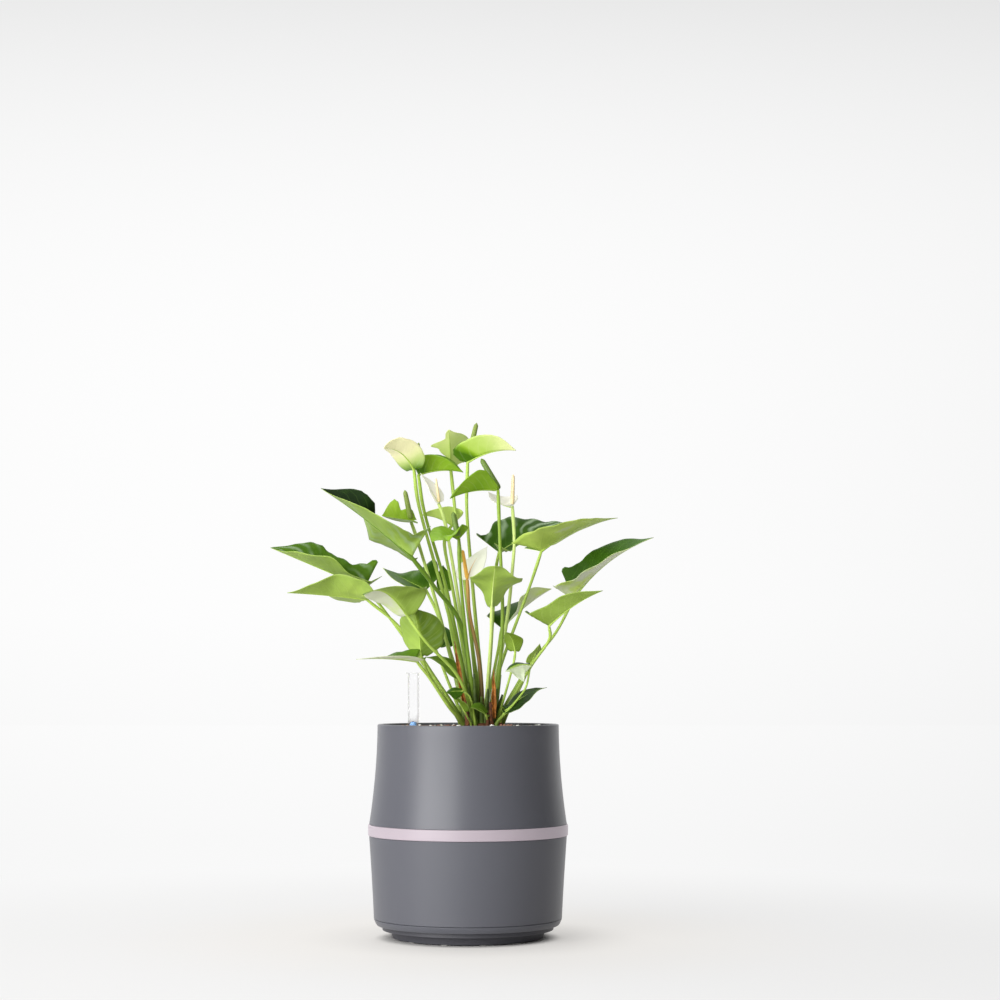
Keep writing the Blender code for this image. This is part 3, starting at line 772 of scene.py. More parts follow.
def add_tube(bm, path, radii, sides=SIDES, material=2):
    """A tube along the path, with a radius for each place; returns its vertices."""
    layers = bm.verts.layers.float
    before = None
    side = np.array((1., 0, 0))
    made = []
    for i, centre in enumerate(path):
        ahead = unit(path[min(i + 1, len(path) - 1)] - path[max(i - 1, 0)])
        side = unit(side - ahead * side.dot(ahead))
        axes = np.stack([side, np.cross(ahead, side), ahead], axis=1) * radii[i] * MM
        here = Matrix([[*axes[k], centre[k] * MM] for k in range(3)] + [[0, 0, 0, 1]])
        if before is None:
            ring = bmesh.ops.create_circle(bm, segments=sides, radius=1, cap_ends=True,
                                           matrix=here)["verts"]
            made += list({f for v in ring for f in v.link_faces})
            edges = list({e for v in ring for e in v.link_edges})
        else:
            grown = bmesh.ops.extrude_edge_only(bm, edges=edges)["geom"]
            ring = [g for g in grown if isinstance(g, bmesh.types.BMVert)]
            made += [g for g in grown if isinstance(g, bmesh.types.BMFace)]
            edges = [e for e in {e for v in ring for e in v.link_edges}
                     if all(v in ring for v in e.verts)]
            bmesh.ops.transform(bm, matrix=here @ before.inverted(), verts=ring)
        for vert in ring:
            vert[layers["along"]] = i / (len(path) - 1)
        before = here
    made += bmesh.ops.contextual_create(bm, geom=edges)["faces"]
    for face in made:
        face.material_index = material
    bmesh.ops.recalc_face_normals(bm, faces=made)
    return {v for f in made for v in f.verts}


print("a stalk has", SIDES, "sides")

# %% A leaf, or a flower's spathe, on its stalk
FOOT_Z = (225, 235)
STALK_PLACES, KNEE, RIB_PLACES = 30, 27, 15
# a stalk is thickest at its foot, tapers, and swells again into a knee under its blade
STALK_SHAPE = [1.25 - .4 * k / (STALK_PLACES - 1) + .9 * max(0, 1 - k / 9)
               + .22 * max(0, 1 - abs(KNEE - k) / 3) for k in range(STALK_PLACES)]
RIB_SHAPE = [.62 - .52 * (k / (RIB_PLACES - 1)) ** .7 for k in range(RIB_PLACES)]


def grow(name, spec, outline, materials, slot, rows, cols):
    """Stalk, blade and midrib as one piece that stands for one solid of the model."""
    spec = {**PLAIN, **spec}
    bm = plant_mesh()
    rib = add_blade(bm, spec, outline, rows, cols)
    stalk = smooth_path([*((*spec["foot"], z) for z in FOOT_Z), *spec["via"],
                         spec["base"]], STALK_PLACES)
    places = [rib.at(t) for t in np.linspace(0, .94, RIB_PLACES + 1)[1:]]
    vein = [place - upper * spec["thick"] * .8 for place, _, upper in places]
    radii = [spec["stem"] * share for share in STALK_SHAPE + RIB_SHAPE]
    for vert in add_tube(bm, np.concatenate([stalk, vein]), radii):
        vert[bm.verts.layers.float["tone"]] = spec["stalk"]
    return finish_piece(name, bm, materials, slot, name, smooth=0)


print("a stalk starts at", round(STALK_SHAPE[0], 2), "of its radius and ends at",
      round(STALK_SHAPE[-1], 2))

# %% [markdown]
# ## Leaf finishes
# The upper face is dark and glossy, the lower one light and matt, and both show veins:
# side veins leave the midrib at a slant and bend towards the tip. They are too fine to
# model, so a vein is a thin line in the finish, where a sum of the two blade coordinates
# passes a whole number.

# %% Veins
VEINS = 9


def veins(finish, count=VEINS, slant=.30, width=.10):
    """1 on a side vein, fading to 0 beside it."""
    along, across = finish.attribute("along"), finish.attribute("across")
    wander = (finish.noise(60, 2) - .5) * .35
    phase = (along - across ** 1.25 * slant) * count + wander
    line = (abs(phase.math("FRACT") - .5) * 2).band(1 - width * 2, 1)
    return line * across.band(1, .6) * along.band(1, .75)


print("a leaf has", VEINS, "side veins in each half")

# %% [markdown]
# A leaf lets light through, so a share of its colour, `glow`, is emitted instead of
# reflected, which is simpler than translucency and keeps the two faces apart. `layer` is
# the attribute that picks the tone, and `sheen` the strength of the reflection. A face
# with a `side` of 1 takes a positive painted sheen, and one of -1 a negative: pale streaks
# of painted reflection that slant like the folds between the side veins.

# %% The two faces of a leaf
def leaf_face(name, roughness, stops, vein_colour, vein_share, relief, layer, sheen, side, glow):
    finish = Finish(name, roughness=roughness, specular_ior_level=sheen, emission_strength=glow)
    tone, line, across = finish.attribute(layer), veins(finish), finish.attribute("across")
    mottle, cloud = finish.noise(130, 3, .55), finish.noise(30, 2)
    body = finish.ramp(tone + (mottle - .5) * .14 + (cloud - .5) * .4 + across.band(.2, 0) * .1,
                       *stops)
    body = finish.blend(line * vein_share + across.band(.95, 1) * .25, body, tint(*vein_colour))
    # painted sheen: pale streaks of reflection, broken into patches by a broad noise
    sheen_phase = (finish.attribute("along") - across * .35) * 6 + finish.noise(28, 2) * 2.2
    streak = (abs(sheen_phase.math("FRACT") - .5) * 2).band(.35, 1) * across.band(0, .25)
    patch = finish.noise(22, 2).band(.40, .62)
    shine = streak * patch * finish.attribute("painted_sheen") * side
    body = finish.blend(shine, body, tint(156, 178, 142))
    finish.set("Base Color", finish.blend(glow, body, BLACK))
    finish.set("Emission Color", body)
    finish.set("Roughness", (mottle - .5) * .25 + roughness)
    finish.bump(line * relief + finish.noise(420, 2) * .25 + cloud * 3, .5, .35)
    return finish


UPPER_TONES = ((0, 28, 46, 20), (.35, 58, 94, 20), (.6, 94, 130, 34), (.8, 138, 168, 58),
               (1, 204, 214, 184))
LOWER_TONES = ((0, 66, 96, 18), (.3, 116, 143, 40), (.6, 148, 176, 76), (.8, 176, 204, 88),
               (.9, 196, 220, 104), (1, 214, 220, 190))
leaf_top = leaf_face("leaf_upper", .38, UPPER_TONES, (120, 158, 70), .10, -.4, "top", .04, 1, 0)
leaf_under = leaf_face("leaf_lower", .55, LOWER_TONES, (190, 208, 124), .14, .5, "tone", .25, -1,
                       .16)
print("nodes in the upper face:", len(leaf_top.tree.nodes))

# %% [markdown]
# Stalks are yellow-green, and duller towards the foot. Their tone is the table's `stalk`.

# %% Stalks
# a faint glow of the stalk's own colour: painted light that lifts its shade
stalk_green = Finish("stalk", roughness=.45, specular_ior_level=.3, emission_strength=.1)
height = stalk_green.attribute("along")
streak = stalk_green.noise(160, 2)
body = stalk_green.ramp(stalk_green.attribute("tone") + (streak - .5) * .2,
                        (0, 84, 116, 26), (.5, 158, 188, 70), (1, 206, 226, 134))
body = stalk_green.blend(height.band(.7, .2) * .4, body, tint(92, 122, 26))
body = stalk_green.blend(height.band(.22, .05) * .8, body, tint(66, 84, 24))
stalk_green.set("Base Color", body)
stalk_green.set("Emission Color", body)
stalk_green.bump(stalk_green.noise(700, 2), .3, .15)
print("leaf and stalk finishes ready")

# %% [markdown]
# ## Leaves
# Twenty-three leaves, each with its own bend, from high to low on the left side of the
# plant, then on the right. In the table a stalk runs foot, via, base, and the blade base
# to tip, all in mm. The other words are left out where the usual value will do, and
# `*[1] * 10` is ten ones in a row. A small blade gets fewer rows and columns.

# %% Table of leaves
LEAVES = {
    "leaf_01": dict(
        foot=(7, -5), via=((-6, -12, 337), (-37, -30, 384)), base=(-61, -45, 415),
        tip=(-162.5, -30, 493), rise=3, width=82,
        right=(-10, -10, -11, -12, -15, -20, -28, -6, 20, 54, 57, 53, 50, 45, 38, 30),
        left=(90, 88, 62, 40, 30, 24, 22, 20, 20, 18, 16, 14, 10, 6, 0, 0),
        wide_right=(1, 1, 1, 1, 1, 1, 1, .95, .6, .8, 1, 1.25, 1.4, 1.5, 1.5, 1.5),
        wide_left=(2.2, 1.15, .62, .72, .85, .95, *[1] * 10),
        rake_right=(0, .01, .01, .01, 0, .02, .05, .13, -.03, -.03, *[0] * 6),
        rake_left=(.11, .04, *[0] * 14), lobe=(.05, .05), top=.02, under=(.52, .46), painted_sheen=-.5,
        stem=2.4, stalk=.05),
    "leaf_02": dict(
        foot=(-7, 5), via=((-38, -7, 283), (-84, -17, 347)), base=(-113, -20, 384),
        tip=(-217, -35, 427), rise=0, width=92, right=(90, 80, 65, 55, *[50] * 5),
        left=(2, 14, 20, 12, 0), wide_right=(1.35, .6, .41, .56, .75, 1, 1.35, 1.5, 1.5),
        wide_left=(.9, .55, .95, 1, 1), rake_right=(.01, 0, -.02, -.03, -.04, -.06, -.06, -.05, 0),
        lobe=(.04, .17), wave=1.2, top=.46, under=(.55, .55), painted_sheen=.65),
    "leaf_03": dict(
        foot=(-6, -2), via=((-35, -12, 282), (-74, -21, 338)), base=(-111, -36, 370),
        tip=(-195, -70, 376), rise=1, width=74, right=(-6, -3, 8, 10, 10),
        left=(5, 30, 44, 34, 20), under=(.62, .62)),
    "leaf_04": dict(
        foot=(8, -24), via=((-10, -46, 285), (-44, -74, 322)), base=(-64, -80, 350),
        tip=(-110, -137, 370), rise=14, skew=-.3, width=68, right=(0, 0, -10, -18, -14, -10),
        left=(25, 46, 20, 12, 10, 8), wide_right=(.5, .6, .82, 1.05, 1),
        wide_left=(.35, 1, 1, 1, 1, .8), lobe=.05, under=(.5, 1.03)),
    "leaf_05": dict(
        foot=(-8, -10), via=((-20, -28, 254), (-40, -41, 283)), base=(-51, -50, 308),
        tip=(-59, -76, 360), rise=6, width=64, right=(20, 24, 22, 15), left=(20, 22, 22, 15),
        wide_right=(.3, .8, 1.1, 1.1), wide_left=(.2, .8, 1, 1.15, 1.2), under=(.1, .62),
        painted_sheen=-.15),
    "leaf_06": dict(
        foot=(-5, -19), via=((-20, -38, 252), (-40, -50, 282)), base=(-55, -60, 302),
        tip=(-118, -98, 304), rise=2, width=46, right=(60, 24, 8, 2, 0, 0), left=(5, 8, 8, 5),
        top=.55, under=(1, .35)),
    "leaf_07": dict(
        foot=(4, -14), via=((-7, -20, 265),), base=(-9, -22, 286), tip=(-47, -34, 307), width=30,
        right=(40, 45, 40, 20), left=(-35, -35, -20, 0), wide_right=(1, .95, .9),
        wide_left=(1, 1.25), lobe=0, top=.66, under=(.2, .15), stem=1.4),
    "leaf_08": dict(
        foot=(1, 15), via=((-14, 20, 293), (-35, 30, 355)), base=(-48, 34, 383),
        tip=(-98, 48, 409), rise=0, width=64, right=(50, 62, 30, 10, 5), left=(0, -6, -8, -8),
        wide_right=(1, 1.2, .9, .5, .6), under=(.9, .1)),
    "leaf_09": dict(
        foot=(-5, 12), via=((-26, 30, 288),), base=(-38, 40, 318), tip=(-60, 86, 346), rise=8,
        width=52, right=(10, 10, 10, 10), left=(10, 10, 10, 10), top=.2, under=(0, 0)),
    "leaf_10": dict(
        foot=(5, 23), via=((-17, 42, 320),), base=(-28, 52, 383), tip=(-30, 62, 413), rise=2,
        width=20, right=(10, 10, 0, 0), left=(30, 20, 0, 0), top=.5, under=(.6, .4), stem=1.2),
    "leaf_11": dict(
        foot=(19, 11), via=((25, 25, 316), (30, 35, 400)), base=(34, 38, 426), tip=(118, 70, 462),
        rise=5, width=84, right=(0, -1, -4, 0), left=(38, 52, 48, 38, 28, 22, 18),
        wide_left=(1.25, .75, .95, 1, 1, 1, 1), lobe=.15, wave=1.6, waves=5, top=.3,
        under=(.3, .3), painted_sheen=.8),
    "leaf_12": dict(
        foot=(25, 2), via=((33, -1, 288), (67, -11, 382)), base=(81, -12, 424), tip=(167, 8, 463),
        rise=6, width=80, right=(60, 42, 26, 20, 14, 8, 5), left=(20, -8, -5, 0),
        wide_right=(.7, *[1] * 6), lobe=(.3, .12), lift=0, top=.5, under=(.86, .84)),
    "leaf_13": dict(
        foot=(32, 5), via=((65, 6, 294), (97, 8, 334)), base=(117, 10, 372), tip=(206, -8, 440),
        rise=9, width=76, right=(60, 8, 2, -4, -10),
        left=(90, 90, 90, 85, 75, 60, 48, 40, 35, 30, 25),
        wide_left=(1.3, .92, .66, .58, .62, .76, .95, 1.05, 1.1, 1.1, 1.1),
        rake_left=(.1, .05, .02, .02, 0, -.02, *[0] * 5), lobe=(.1, 0), wave=1, top=.32,
        under=(.85, .95)),
    "leaf_14": dict(
        foot=(34, -4), via=((68, -14, 295), (89, -26, 325)), base=(89, -34, 341),
        tip=(146, -79, 378), width=66, right=(30, 38, 26, 20), left=(25, 25, 25, 20),
        wide_right=(1.15, .62, .85, 1), lobe=(.22, .1), under=(.5, .5)),
    "leaf_15": dict(
        foot=(18, -12), via=((21, -20, 271), (25, -32, 326)), base=(26, -42, 360),
        tip=(30, -88, 404), width=64, right=(50, 45, 20, 0, 20), left=(45, 40, 15, -5, 20),
        wide_right=(.2, .35, .7, 1.1, 1.3, 2.4), wide_left=(.3, .6, 1.1, 1.35, 1.4, 2.2), stalk=1),
    "leaf_16": dict(
        foot=(20, 17), via=((22, 22, 260), (32, 34, 310)), base=(37, 40, 340), tip=(94, 64, 386),
        rise=3, width=50, right=(5, 20, 50, 60, 50), left=(80, 25, 12, 0),
        wide_right=(.8, .7, .9, 1.2, 1.4), lobe=(.05, .15), top=.25, under=(.95, 1)),
    "leaf_17": dict(
        foot=(32, -12), via=((41, -20, 267), (50, -26, 300)), base=(52, -28, 313),
        tip=(42, -46, 334), width=28, right=(20, 20, 10, 10), left=(20, 20, 10, 10),
        wide_left=(.4, .95, .9), top=.35, under=(.2, .36), stem=1.3),
    "leaf_18": dict(
        foot=(32, -32), via=((45, -40, 250), (56, -48, 263), (64, -54, 276)), base=(68, -48, 298),
        tip=(41, -62, 291), width=24, right=(10, 10, 5, 0), left=(-40, -60, -70, -70, -40),
        wide_left=(.2, .8, 2, 2.4, 1.2), top=(.97, .25), under=(.9, .4), stem=1.2),
    "leaf_19": dict(
        foot=(36, -19), via=((37, -27, 241),), base=(41, -32, 248), tip=(86, -56, 274), width=34,
        right=(-30, -42, -35, 0), left=(30, 40, 30, 10), wide_right=(.5, .9, 1.3, 1.6, 1.2),
        top=.05, under=(.1, .1), stem=1.3),
    "leaf_20": dict(
        foot=(39, 3), via=((60, -2, 278),), base=(69, -6, 300), tip=(79, -14, 322), rise=0,
        width=16, right=(30, 20, 0, 0), left=(30, 20, 0, 0), wide_right=(.9, 1, .9),
        wide_left=(1, 1.4, 2), under=(.45, .6), stem=1.2),
    "leaf_21": dict(
        foot=(8, -31), via=((3, -43, 262),), base=(-6, -50, 270), tip=(-24, -62, 268), rise=1,
        width=15, right=(30, 30, 20, 0), left=(-50, -60, -60, -20), wide_left=(.5, 1.1, 2, 1.6),
        under=(.3, .4), stem=1),
    "leaf_22": dict(
        foot=(22, -24), via=((21, -32, 240),), base=(20, -38, 244), tip=(3, -54, 252), rise=3,
        width=20, right=(60, 60, 50, 20), left=(-20, -30, -30, -10), top=.55, under=(.3, .3),
        stem=1.2),
    "leaf_23": dict(
        foot=(3, -29), via=((0, -38, 241),), base=(-3, -44, 247), tip=(-16, -50, 266), rise=1,
        width=14, right=(20, 20, 10, 0), left=(20, 20, 10, 0), wide_left=(1.4, 1.4), lobe=.05,
        top=.2, under=(.1, .1), stem=1),
}

# %% Grow the leaves
SMALL, SMALL_GRID, GRID = 40, (20, 12), (32, 20)
for name, spec in LEAVES.items():
    piece = grow(name, spec, LEAF_OUTLINE, [leaf_top, leaf_under, stalk_green], "leaf",
                 *(SMALL_GRID if spec["width"] < SMALL else GRID))
print(len(LEAVES), "leaves; the last has", len(piece.data.polygons), "faces")

# %% [markdown]
# ## Spathes and spadices
# A young spathe is yellow-green and turns cream or white. It is made as a leaf is, with
# one finish on both faces and fainter veins. The lowest one stands on a stalk that has
# dried to orange.

# %% Spathe finishes
def spathe_face(name, roughness, stops, cream, glow):
    """Tones as on a leaf, turned to the cream colour where the blade is creamy."""
    finish = Finish(name, roughness=roughness, specular_ior_level=.3, emission_strength=glow)
    tone, line = finish.attribute("tone"), veins(finish, 7, .25, .12)
    mottle, cloud = finish.noise(110, 2), finish.noise(36, 2)
    body = finish.ramp(tone + (mottle - .5) * .12 + (cloud - .5) * .4, *stops)
    body = finish.blend(finish.attribute("cream"), body, tint(*cream))
    body = finish.blend(line * .06, body, tint(226, 232, 190))
    # a share of the colour glows: painted light that evens out the lit and shaded sides
    finish.set("Base Color", finish.blend(glow * .7, body, BLACK))
    finish.set("Emission Color", body)
    finish.bump(line * .4 + cloud * 3, .5, .3)
    return finish


GREENS = ((0, 66, 106, 6), (.35, 112, 152, 20), (.65, 150, 186, 52), (1, 192, 214, 112))
WHITES = ((0, 204, 206, 188), (1, 236, 234, 222))
spathe_green = spathe_face("spathe_green", .4, GREENS, (244, 238, 190), .24)
spathe_white = spathe_face("spathe_white", .45, WHITES, (234, 232, 222), .42)
flame = Finish("orange_stalk", roughness=.45)
flame.set("Base Color", flame.ramp(flame.attribute("along") + (flame.noise(120, 2) - .5) * .1,
                                   (0, 84, 70, 26), (.18, 108, 88, 38), (.42, 144, 112, 56),
                                   (.62, 196, 152, 68), (.78, 214, 164, 78), (1, 196, 150, 60)))
print("nodes in a spathe's finish:", len(spathe_green.tree.nodes))

# %% Table of flowers
FLOWERS = {
    "flower_01": dict(
        foot=(2, 1), via=((-9, -2, 304), (-31, 0, 388), (-55, 2, 474)), base=(-61, 2, 516),
        tip=(-94, -26, 538), rise=8, width=44, right=(0, 0, 0, 0), left=(30, 48, 50, 50, 55, 60),
        wide_right=(1, 1, 1, 1, 1.2, 1.5), wide_left=(.8, .85, .95, 1.05, 1.4, 2.6), lobe=.05,
        under=(.85, .85), painted_shade=(.9, .9), cream=(.95, 0, .5), stalk=.55),
    "flower_02": dict(
        foot=(4, 7), via=((-8, 12, 304), (-26, 18, 388), (-50, 26, 470)), base=(-57, 28, 513),
        tip=(-6, 14, 515), width=42, right=(60, 60, 55, 40), left=(70, 70, 65, 40), lobe=0,
        under=(.2, .45), painted_shade=(1, 1), stalk=.4),
    "flower_03": dict(
        foot=(14, 16), via=((6, 16, 304), (-5, 20, 394), (-14, 22, 460)), base=(-21, 40, 523),
        tip=(-22, 4, 562), width=58, right=(45, 30, 25, 0), left=(50, 45, 30, 0),
        wide_right=(.1, .1, .5, 1.1, .4, 1), wide_left=(1, 1, 1, .95, 1),
        rake_right=(0, 0, -.05, -.2, -.1, 0), under=(1, .95), cream=(.3, 0, 1), stalk=.65),
    "flower_04": dict(
        foot=(15, 4), via=((13, 5, 293), (5, 10, 382), (-2, 11, 471)), base=(-1, 6, 525),
        tip=(53, -12, 537), rise=5, width=60, right=(57, 57, 57, 60, 60, 60, 55, 50),
        left=(30, 30, 30, 30), wide_right=(.24, .55, .7, .81, .8, .83, .86, .9, .95, 1, 1, 1, 1),
        rake_right=(-.13, -.24, -.24, -.19, -.15, -.11, -.07, -.05, -.03, -.01, 0, 0, 0),
        lobe=(0, .1), lift=0, under=(.5, .8), painted_shade=(0, 2), cream=(.6, .3, 1)),
    "flower_05": dict(
        foot=(25, -7), via=((32, -11, 271), (38, -17, 348), (35, -18, 437)), base=(33, -15, 492),
        tip=(-20, -38, 481), width=48, right=(30, 30, 30, 30), left=(60, 62, 60, 50),
        wide_left=(.38, .62, .98, 1.05, *[1] * 5), rake_left=(0, .03, .06, .05, .03, 0, 0, 0, 0),
        lobe=0, under=(.4, .3), stalk=.35),
    "flower_06": dict(
        foot=(9, 11), via=((2, 11, 282), (-13, 13, 382), (-26, 16, 456)), base=(-34, 16, 480),
        tip=(-54, 16, 514), rise=0, width=24, right=(60, 60, 50, 30), left=(-10, -10, 0, 0),
        lobe=.05, top=.9, under=(1, 1), stalk=.95),
    "flower_07": dict(
        foot=(25, 9), via=((29, 7, 271), (43, 0, 349), (50, -8, 416), (51, -7, 442)),
        base=(49, 2, 475), tip=(22, 14, 493), rise=-4, width=34, right=(50, 40, 30, 20),
        left=(5, 0, 0, 0), wide_right=(1.3, 1, 1), under=(.9, .9), stalk=1),
    "flower_08": dict(
        foot=(-2, -7), via=((-13, -4, 282), (-35, -7, 365), (-55, -10, 432)), base=(-64, -10, 458),
        tip=(-95, -28, 463), rise=-2, width=44, right=(80, 85, 85, 75, 75, 70, 65, 60, 60),
        left=(-10, 0, 0, 0), wide_right=(.5, .7, .66, .59, 1.16, 1.55, 1.68, 1.78, 1.5),
        rake_right=(-.1, -.14, -.12, -.04, -.06, -.04, 0, 0, 0), lobe=(.15, .1), lift=-20,
        stalk=.7),
    "flower_09": dict(
        foot=(9, 18), via=((-2, 26, 293), (-18, 38, 383), (-28, 42, 438)), base=(-19, 40, 457),
        tip=(-54, 34, 468), rise=3, width=34, right=(10, 10, 5, 0), left=(50, 60, 60, 50),
        wide_right=(.6, 1, 1), wide_left=(1.6, 1.15, .78, .8), rake_left=(-.06, -.05, 0, 0),
        under=(.95, .95)),
    "flower_10": dict(
        foot=(12, -13), via=((6, -18, 264), (-2, -26, 326), (-9, -34, 403)), base=(-10, -34, 436),
        tip=(-39, -52, 432), rise=6, width=36, right=(60, 50, 45, 35, 35),
        left=(65, 55, 0, -35, -20, 0), wide_right=(.6, .62, .95, 1.4, 2.2),
        wide_left=(1.3, 1, .8, .8, 1, 1), under=(.38, .38), stalk=.2),
    "flower_11": dict(
        foot=(13, -6), via=((15, -10, 271), (11, -16, 310), (2, -20, 353)), base=(-1, -20, 392),
        tip=(21, -6, 430), width=46, right=(0, -5, -5, 0), left=(10, 10, 0, 0), lobe=.05, top=.05,
        under=(.05, .05), stem=2),
}
# names for the spathes that are not green; those named white get the white finish
PALE = {"flower_01": "spathe_cream", "flower_06": "spathe_white", "flower_07": "spathe_white",
        "flower_11": "spathe_white"}

# %% Grow the flowers
for name, spec in FLOWERS.items():
    slot = PALE.get(name, "spathe_green")
    face = spathe_white if slot == "spathe_white" else spathe_green
    stalk = flame if name == "flower_11" else stalk_green
    piece = grow(name, {"stem": 1.9, "top": .5, "thick": .6, **spec}, SPATHE_OUTLINE,
                 [face, face, stalk], slot, 28, 20)
print(len(FLOWERS), "flowers; the last has", len(piece.data.polygons), "faces")

# %% [markdown]
# The spike of a flower, the spadix, is a tapered rod covered with tiny knobs in crossing
# spirals. It starts as a grid that is wrapped round, and its radius follows the knobs: two
# waves that run round the rod in opposite turns, multiplied, give the crossing pattern.
# The same pattern sets the tone: the knobs are painted paler, as a highlight, and the
# hollows darker, as shade.

# %% Spadix finish
def knobbly(name, shaded_hollow, knob):
    """Two colours: a painted shade for the hollows and a painted highlight for the knobs."""
    # a faint glow of the spadix's own colour is painted light
    finish = Finish(name, roughness=.5, specular_ior_level=.3, emission_strength=.1)
    height = finish.attribute("tone")
    body = finish.ramp(height + (finish.noise(260, 2) - .5) * .3, (0, *shaded_hollow), (1, *knob))
    finish.set("Base Color", body)
    finish.set("Emission Color", body)
    finish.bump(finish.noise(1500, 2), .3, .1)
    return finish


spadix_green = knobbly("spadix_green", (88, 108, 36), (156, 174, 92))
spadix_dark = knobbly("spadix_dark", (62, 88, 26), (128, 154, 74))
spadix_cream = knobbly("spadix_cream", (240, 208, 150), (255, 238, 198))
spadix_gold = knobbly("spadix_gold", (206, 140, 40), (240, 196, 92))
print("four spadix finishes, with", len(spadix_gold.tree.nodes), "nodes each")

# %% Spadix
TURNS, PITCH = 13, 1.5


def add_spadix(bm, low, high, radius):
    """A knobbly rod from low to high, rounded at its end."""
    tone = bm.verts.layers.float.new("tone")
    low, high = np.array(low, float), np.array(high, float)
    length = np.linalg.norm(high - low)
    ahead = (high - low) / length
    side = unit(np.cross(ahead, (0, 1, 0)))
    other = np.cross(ahead, side)
    rows = max(24, int(length * 1.8))
    sheet = bmesh.ops.create_grid(bm, x_segments=rows, y_segments=26, size=.5)["verts"]
    for vert in sheet:
        t, a = vert.co.x + .5, (vert.co.y + .5) * 2 * pi
        knob = sin(TURNS * a / 2 + t * length * PITCH) * sin(TURNS * a / 2 - t * length * PITCH)
        shape = (1 - .28 * t) * max(0, 1 - (2 * t - 1) ** 12) ** .5
        shape *= min(1, ((1 - t) * length / radius) ** .5)
        r = radius * shape * (.96 + .12 * abs(knob))
        centre = low + (high - low) * t
        vert.co = Vector(centre + r * (side * cos(a) + other * sin(a))) * MM
        vert[tone] = abs(knob)
    bmesh.ops.remove_doubles(bm, verts=bm.verts, dist=2e-6)
    bmesh.ops.recalc_face_normals(bm, faces=bm.faces)


print("knobs round a spadix:", TURNS)

# %% Grow the spadices
SPADICES = {
    # name: (low end, high end, radius, finish)
    "spadix_01": ((-61, 3, 517), (-56, 10, 548), 2.4, spadix_green),
    "spadix_04": ((-1, 8, 527), (9, 16, 571), 3.4, spadix_green),
    "spadix_05": ((34, -12, 493), (14, -4, 528.5), 3.8, spadix_dark),
    "spadix_06": ((-33, 15, 481), (-37, 12, 508), 1.6, spadix_cream),
    "spadix_07": ((49, 1, 477), (50, -2, 511), 2.3, spadix_cream),
    "spadix_08": ((-64, -12, 460), (-70.5, -18, 492), 3.2, spadix_green),
    "spadix_10": ((-11, -41, 439), (-16.5, -44, 466), 3.5, spadix_dark),
    "spadix_11": ((-1, -22, 393), (-6, -30, 425), 2.2, spadix_gold),
}
for name, (low, high, radius, finish) in SPADICES.items():
    bm = bmesh.new()
    add_spadix(bm, low, high, radius)
    slot = "spadix_green" if finish is spadix_green else "spadix_cream"
    finish_piece(name, bm, [finish], slot, name, smooth=0)
print(len(SPADICES), "spadices")

# %% [markdown]
# ## Foot of the plant
# Old stalks leave dry orange-brown sheaths. A sheath is a narrow blade without a stalk,
# folded up on both sides.

# %% Dry sheaths
def fibrous(name, roughness, scale, relief, *stops):
    """A dry surface: one noise gives the colour and the relief, in mm."""
    finish = Finish(name, roughness=roughness)
    fibre = finish.noise(scale, 4, .6)
    finish.set("Base Color", finish.ramp(fibre, *stops))
    finish.bump(fibre, .7, relief)
    return finish


dry = fibrous("dry_sheath", .75, 240, .5, (.25, 86, 48, 14), (.5, 152, 92, 28),
              (.75, 200, 136, 62))
SHEATHS = {
    "sheath_01": dict(base=(-2, -27, 245), tip=(-15, -28, 325), wave=1.2),
    "sheath_02": dict(base=(29, -26, 240), tip=(28, -27, 294), wave=1.4),
}
FOLDED = {**PLAIN, "rise": 0, "width": 8, "right": (60, 50, 40), "left": (60, 50, 40), "lobe": 0}
for name, spec in SHEATHS.items():
    bm = plant_mesh()
    add_blade(bm, {**FOLDED, **spec}, LEAF_OUTLINE, 30, 10)
    finish_piece(name, bm, [dry, dry], "sheath", name, smooth=0)
print(len(SHEATHS), "sheaths")

# %% [markdown]
# The clump is a low mound, roughened at random. Short brown stubs stand on it, one at
# every third stalk and three taller ones in front. Between the living stalks stand the
# dark green bases of old ones, which lean outwards.

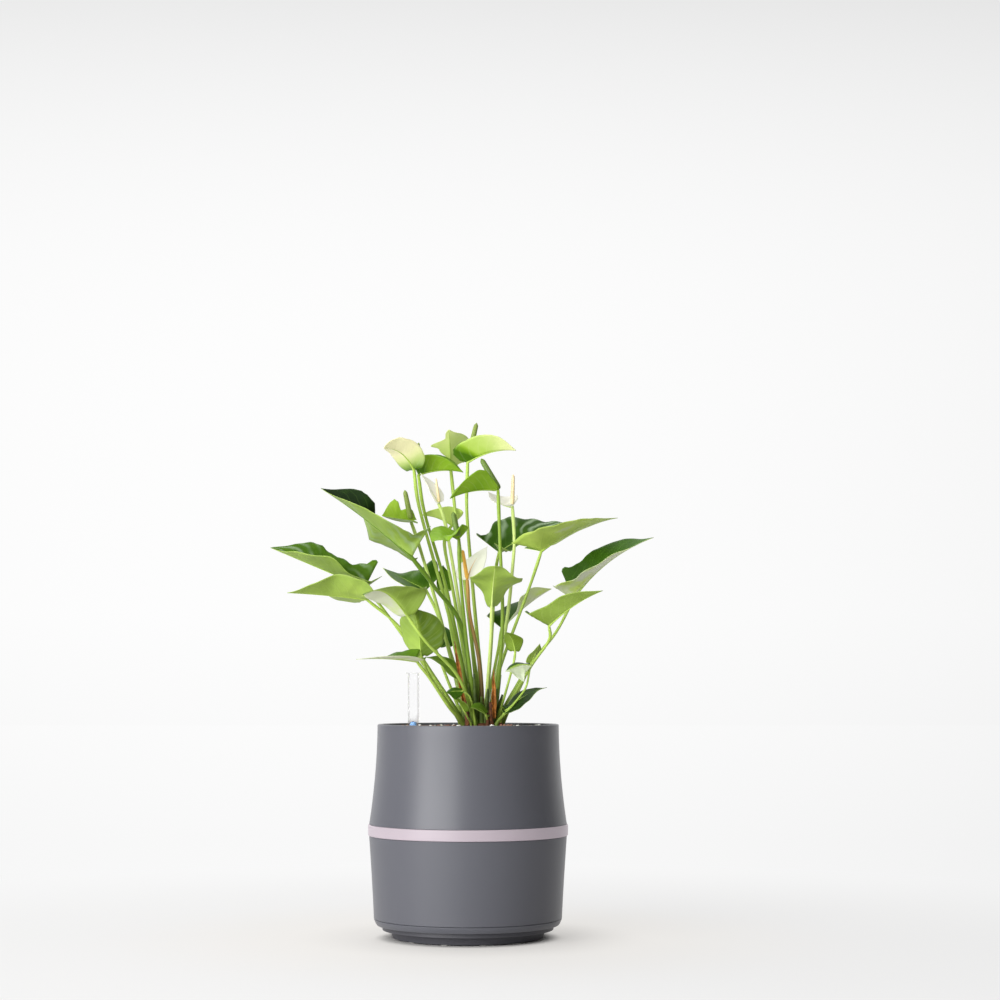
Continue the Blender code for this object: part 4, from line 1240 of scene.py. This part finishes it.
# %% Crown of the clump
bark = fibrous("clump_bark", .85, 300, .6, (.3, 44, 24, 14), (.55, 98, 56, 28),
               (.8, 150, 96, 52))
old_green = Finish("old_stalks", roughness=.6)
old_green.set("Base Color", old_green.ramp(old_green.noise(120, 3), (.35, 44, 62, 14),
                                           (.65, 92, 116, 34)))
bm = plant_mesh()
spin_outline(bm, [(0, 224), (29, 224), (28.6, 229), (24, 233.5), (16, 235.6), (0, 236)], 40,
             CLUMP)
for vert in bm.verts:
    if vert.co.z > 225 * MM:
        vert.co += Vector((chance.uniform(-1, 1), chance.uniform(-1, 1),
                           chance.uniform(-1.2, .6))) * .9 * MM
print("crown faces", len(bm.faces))

# %% Stubs and old bases
BURIED_Z = 228
BARK, OLD_GREEN = 0, 1
feet = [spec["foot"] for spec in (*LEAVES.values(), *FLOWERS.values())]
for x, y in feet[::3]:
    lean = [chance.uniform(-1.5, 1.5) for _ in range(2)]
    path = smooth_path([(x, y, BURIED_Z), (x + lean[0] / 2, y + lean[1] / 2, 233),
                        (x + lean[0], y + lean[1], 236 + chance.uniform(2, 9))], 8)
    add_tube(bm, path, [2.5 - .1 * k for k in range(7)] + [1.0], 10, BARK)
for x, y, top, r in ((0, -29, 262, 2.8), (26, -27, 258, 3.0), (22, -30, 246, 2.2)):
    path = smooth_path([(x, y, BURIED_Z), (x - .6, y, 240), (x - 1, y, top)], 14)
    add_tube(bm, path, [r - .09 * k + .35 * (k % 2) for k in range(14)], 12, BARK)
OLD_STALKS = 16
for k in range(OLD_STALKS):
    a = 2 * pi * k / OLD_STALKS + chance.uniform(-.1, .1)
    x, y = CLUMP[0] + 15 * cos(a) * chance.uniform(.5, 1.2), CLUMP[1] + 15 * sin(a)
    path = smooth_path([(x, y, BURIED_Z), (x + 3 * cos(a), y + 3 * sin(a), 250),
                        (x + 8 * cos(a), y + 6 * sin(a), chance.uniform(262, 292))], 12)
    add_tube(bm, path, [3.4 - .2 * k for k in range(12)], 10, OLD_GREEN)
clump = finish_piece("clump", bm, [bark, old_green], "crown", "root_crown")
print("clump has", len(clump.data.polygons), "faces")
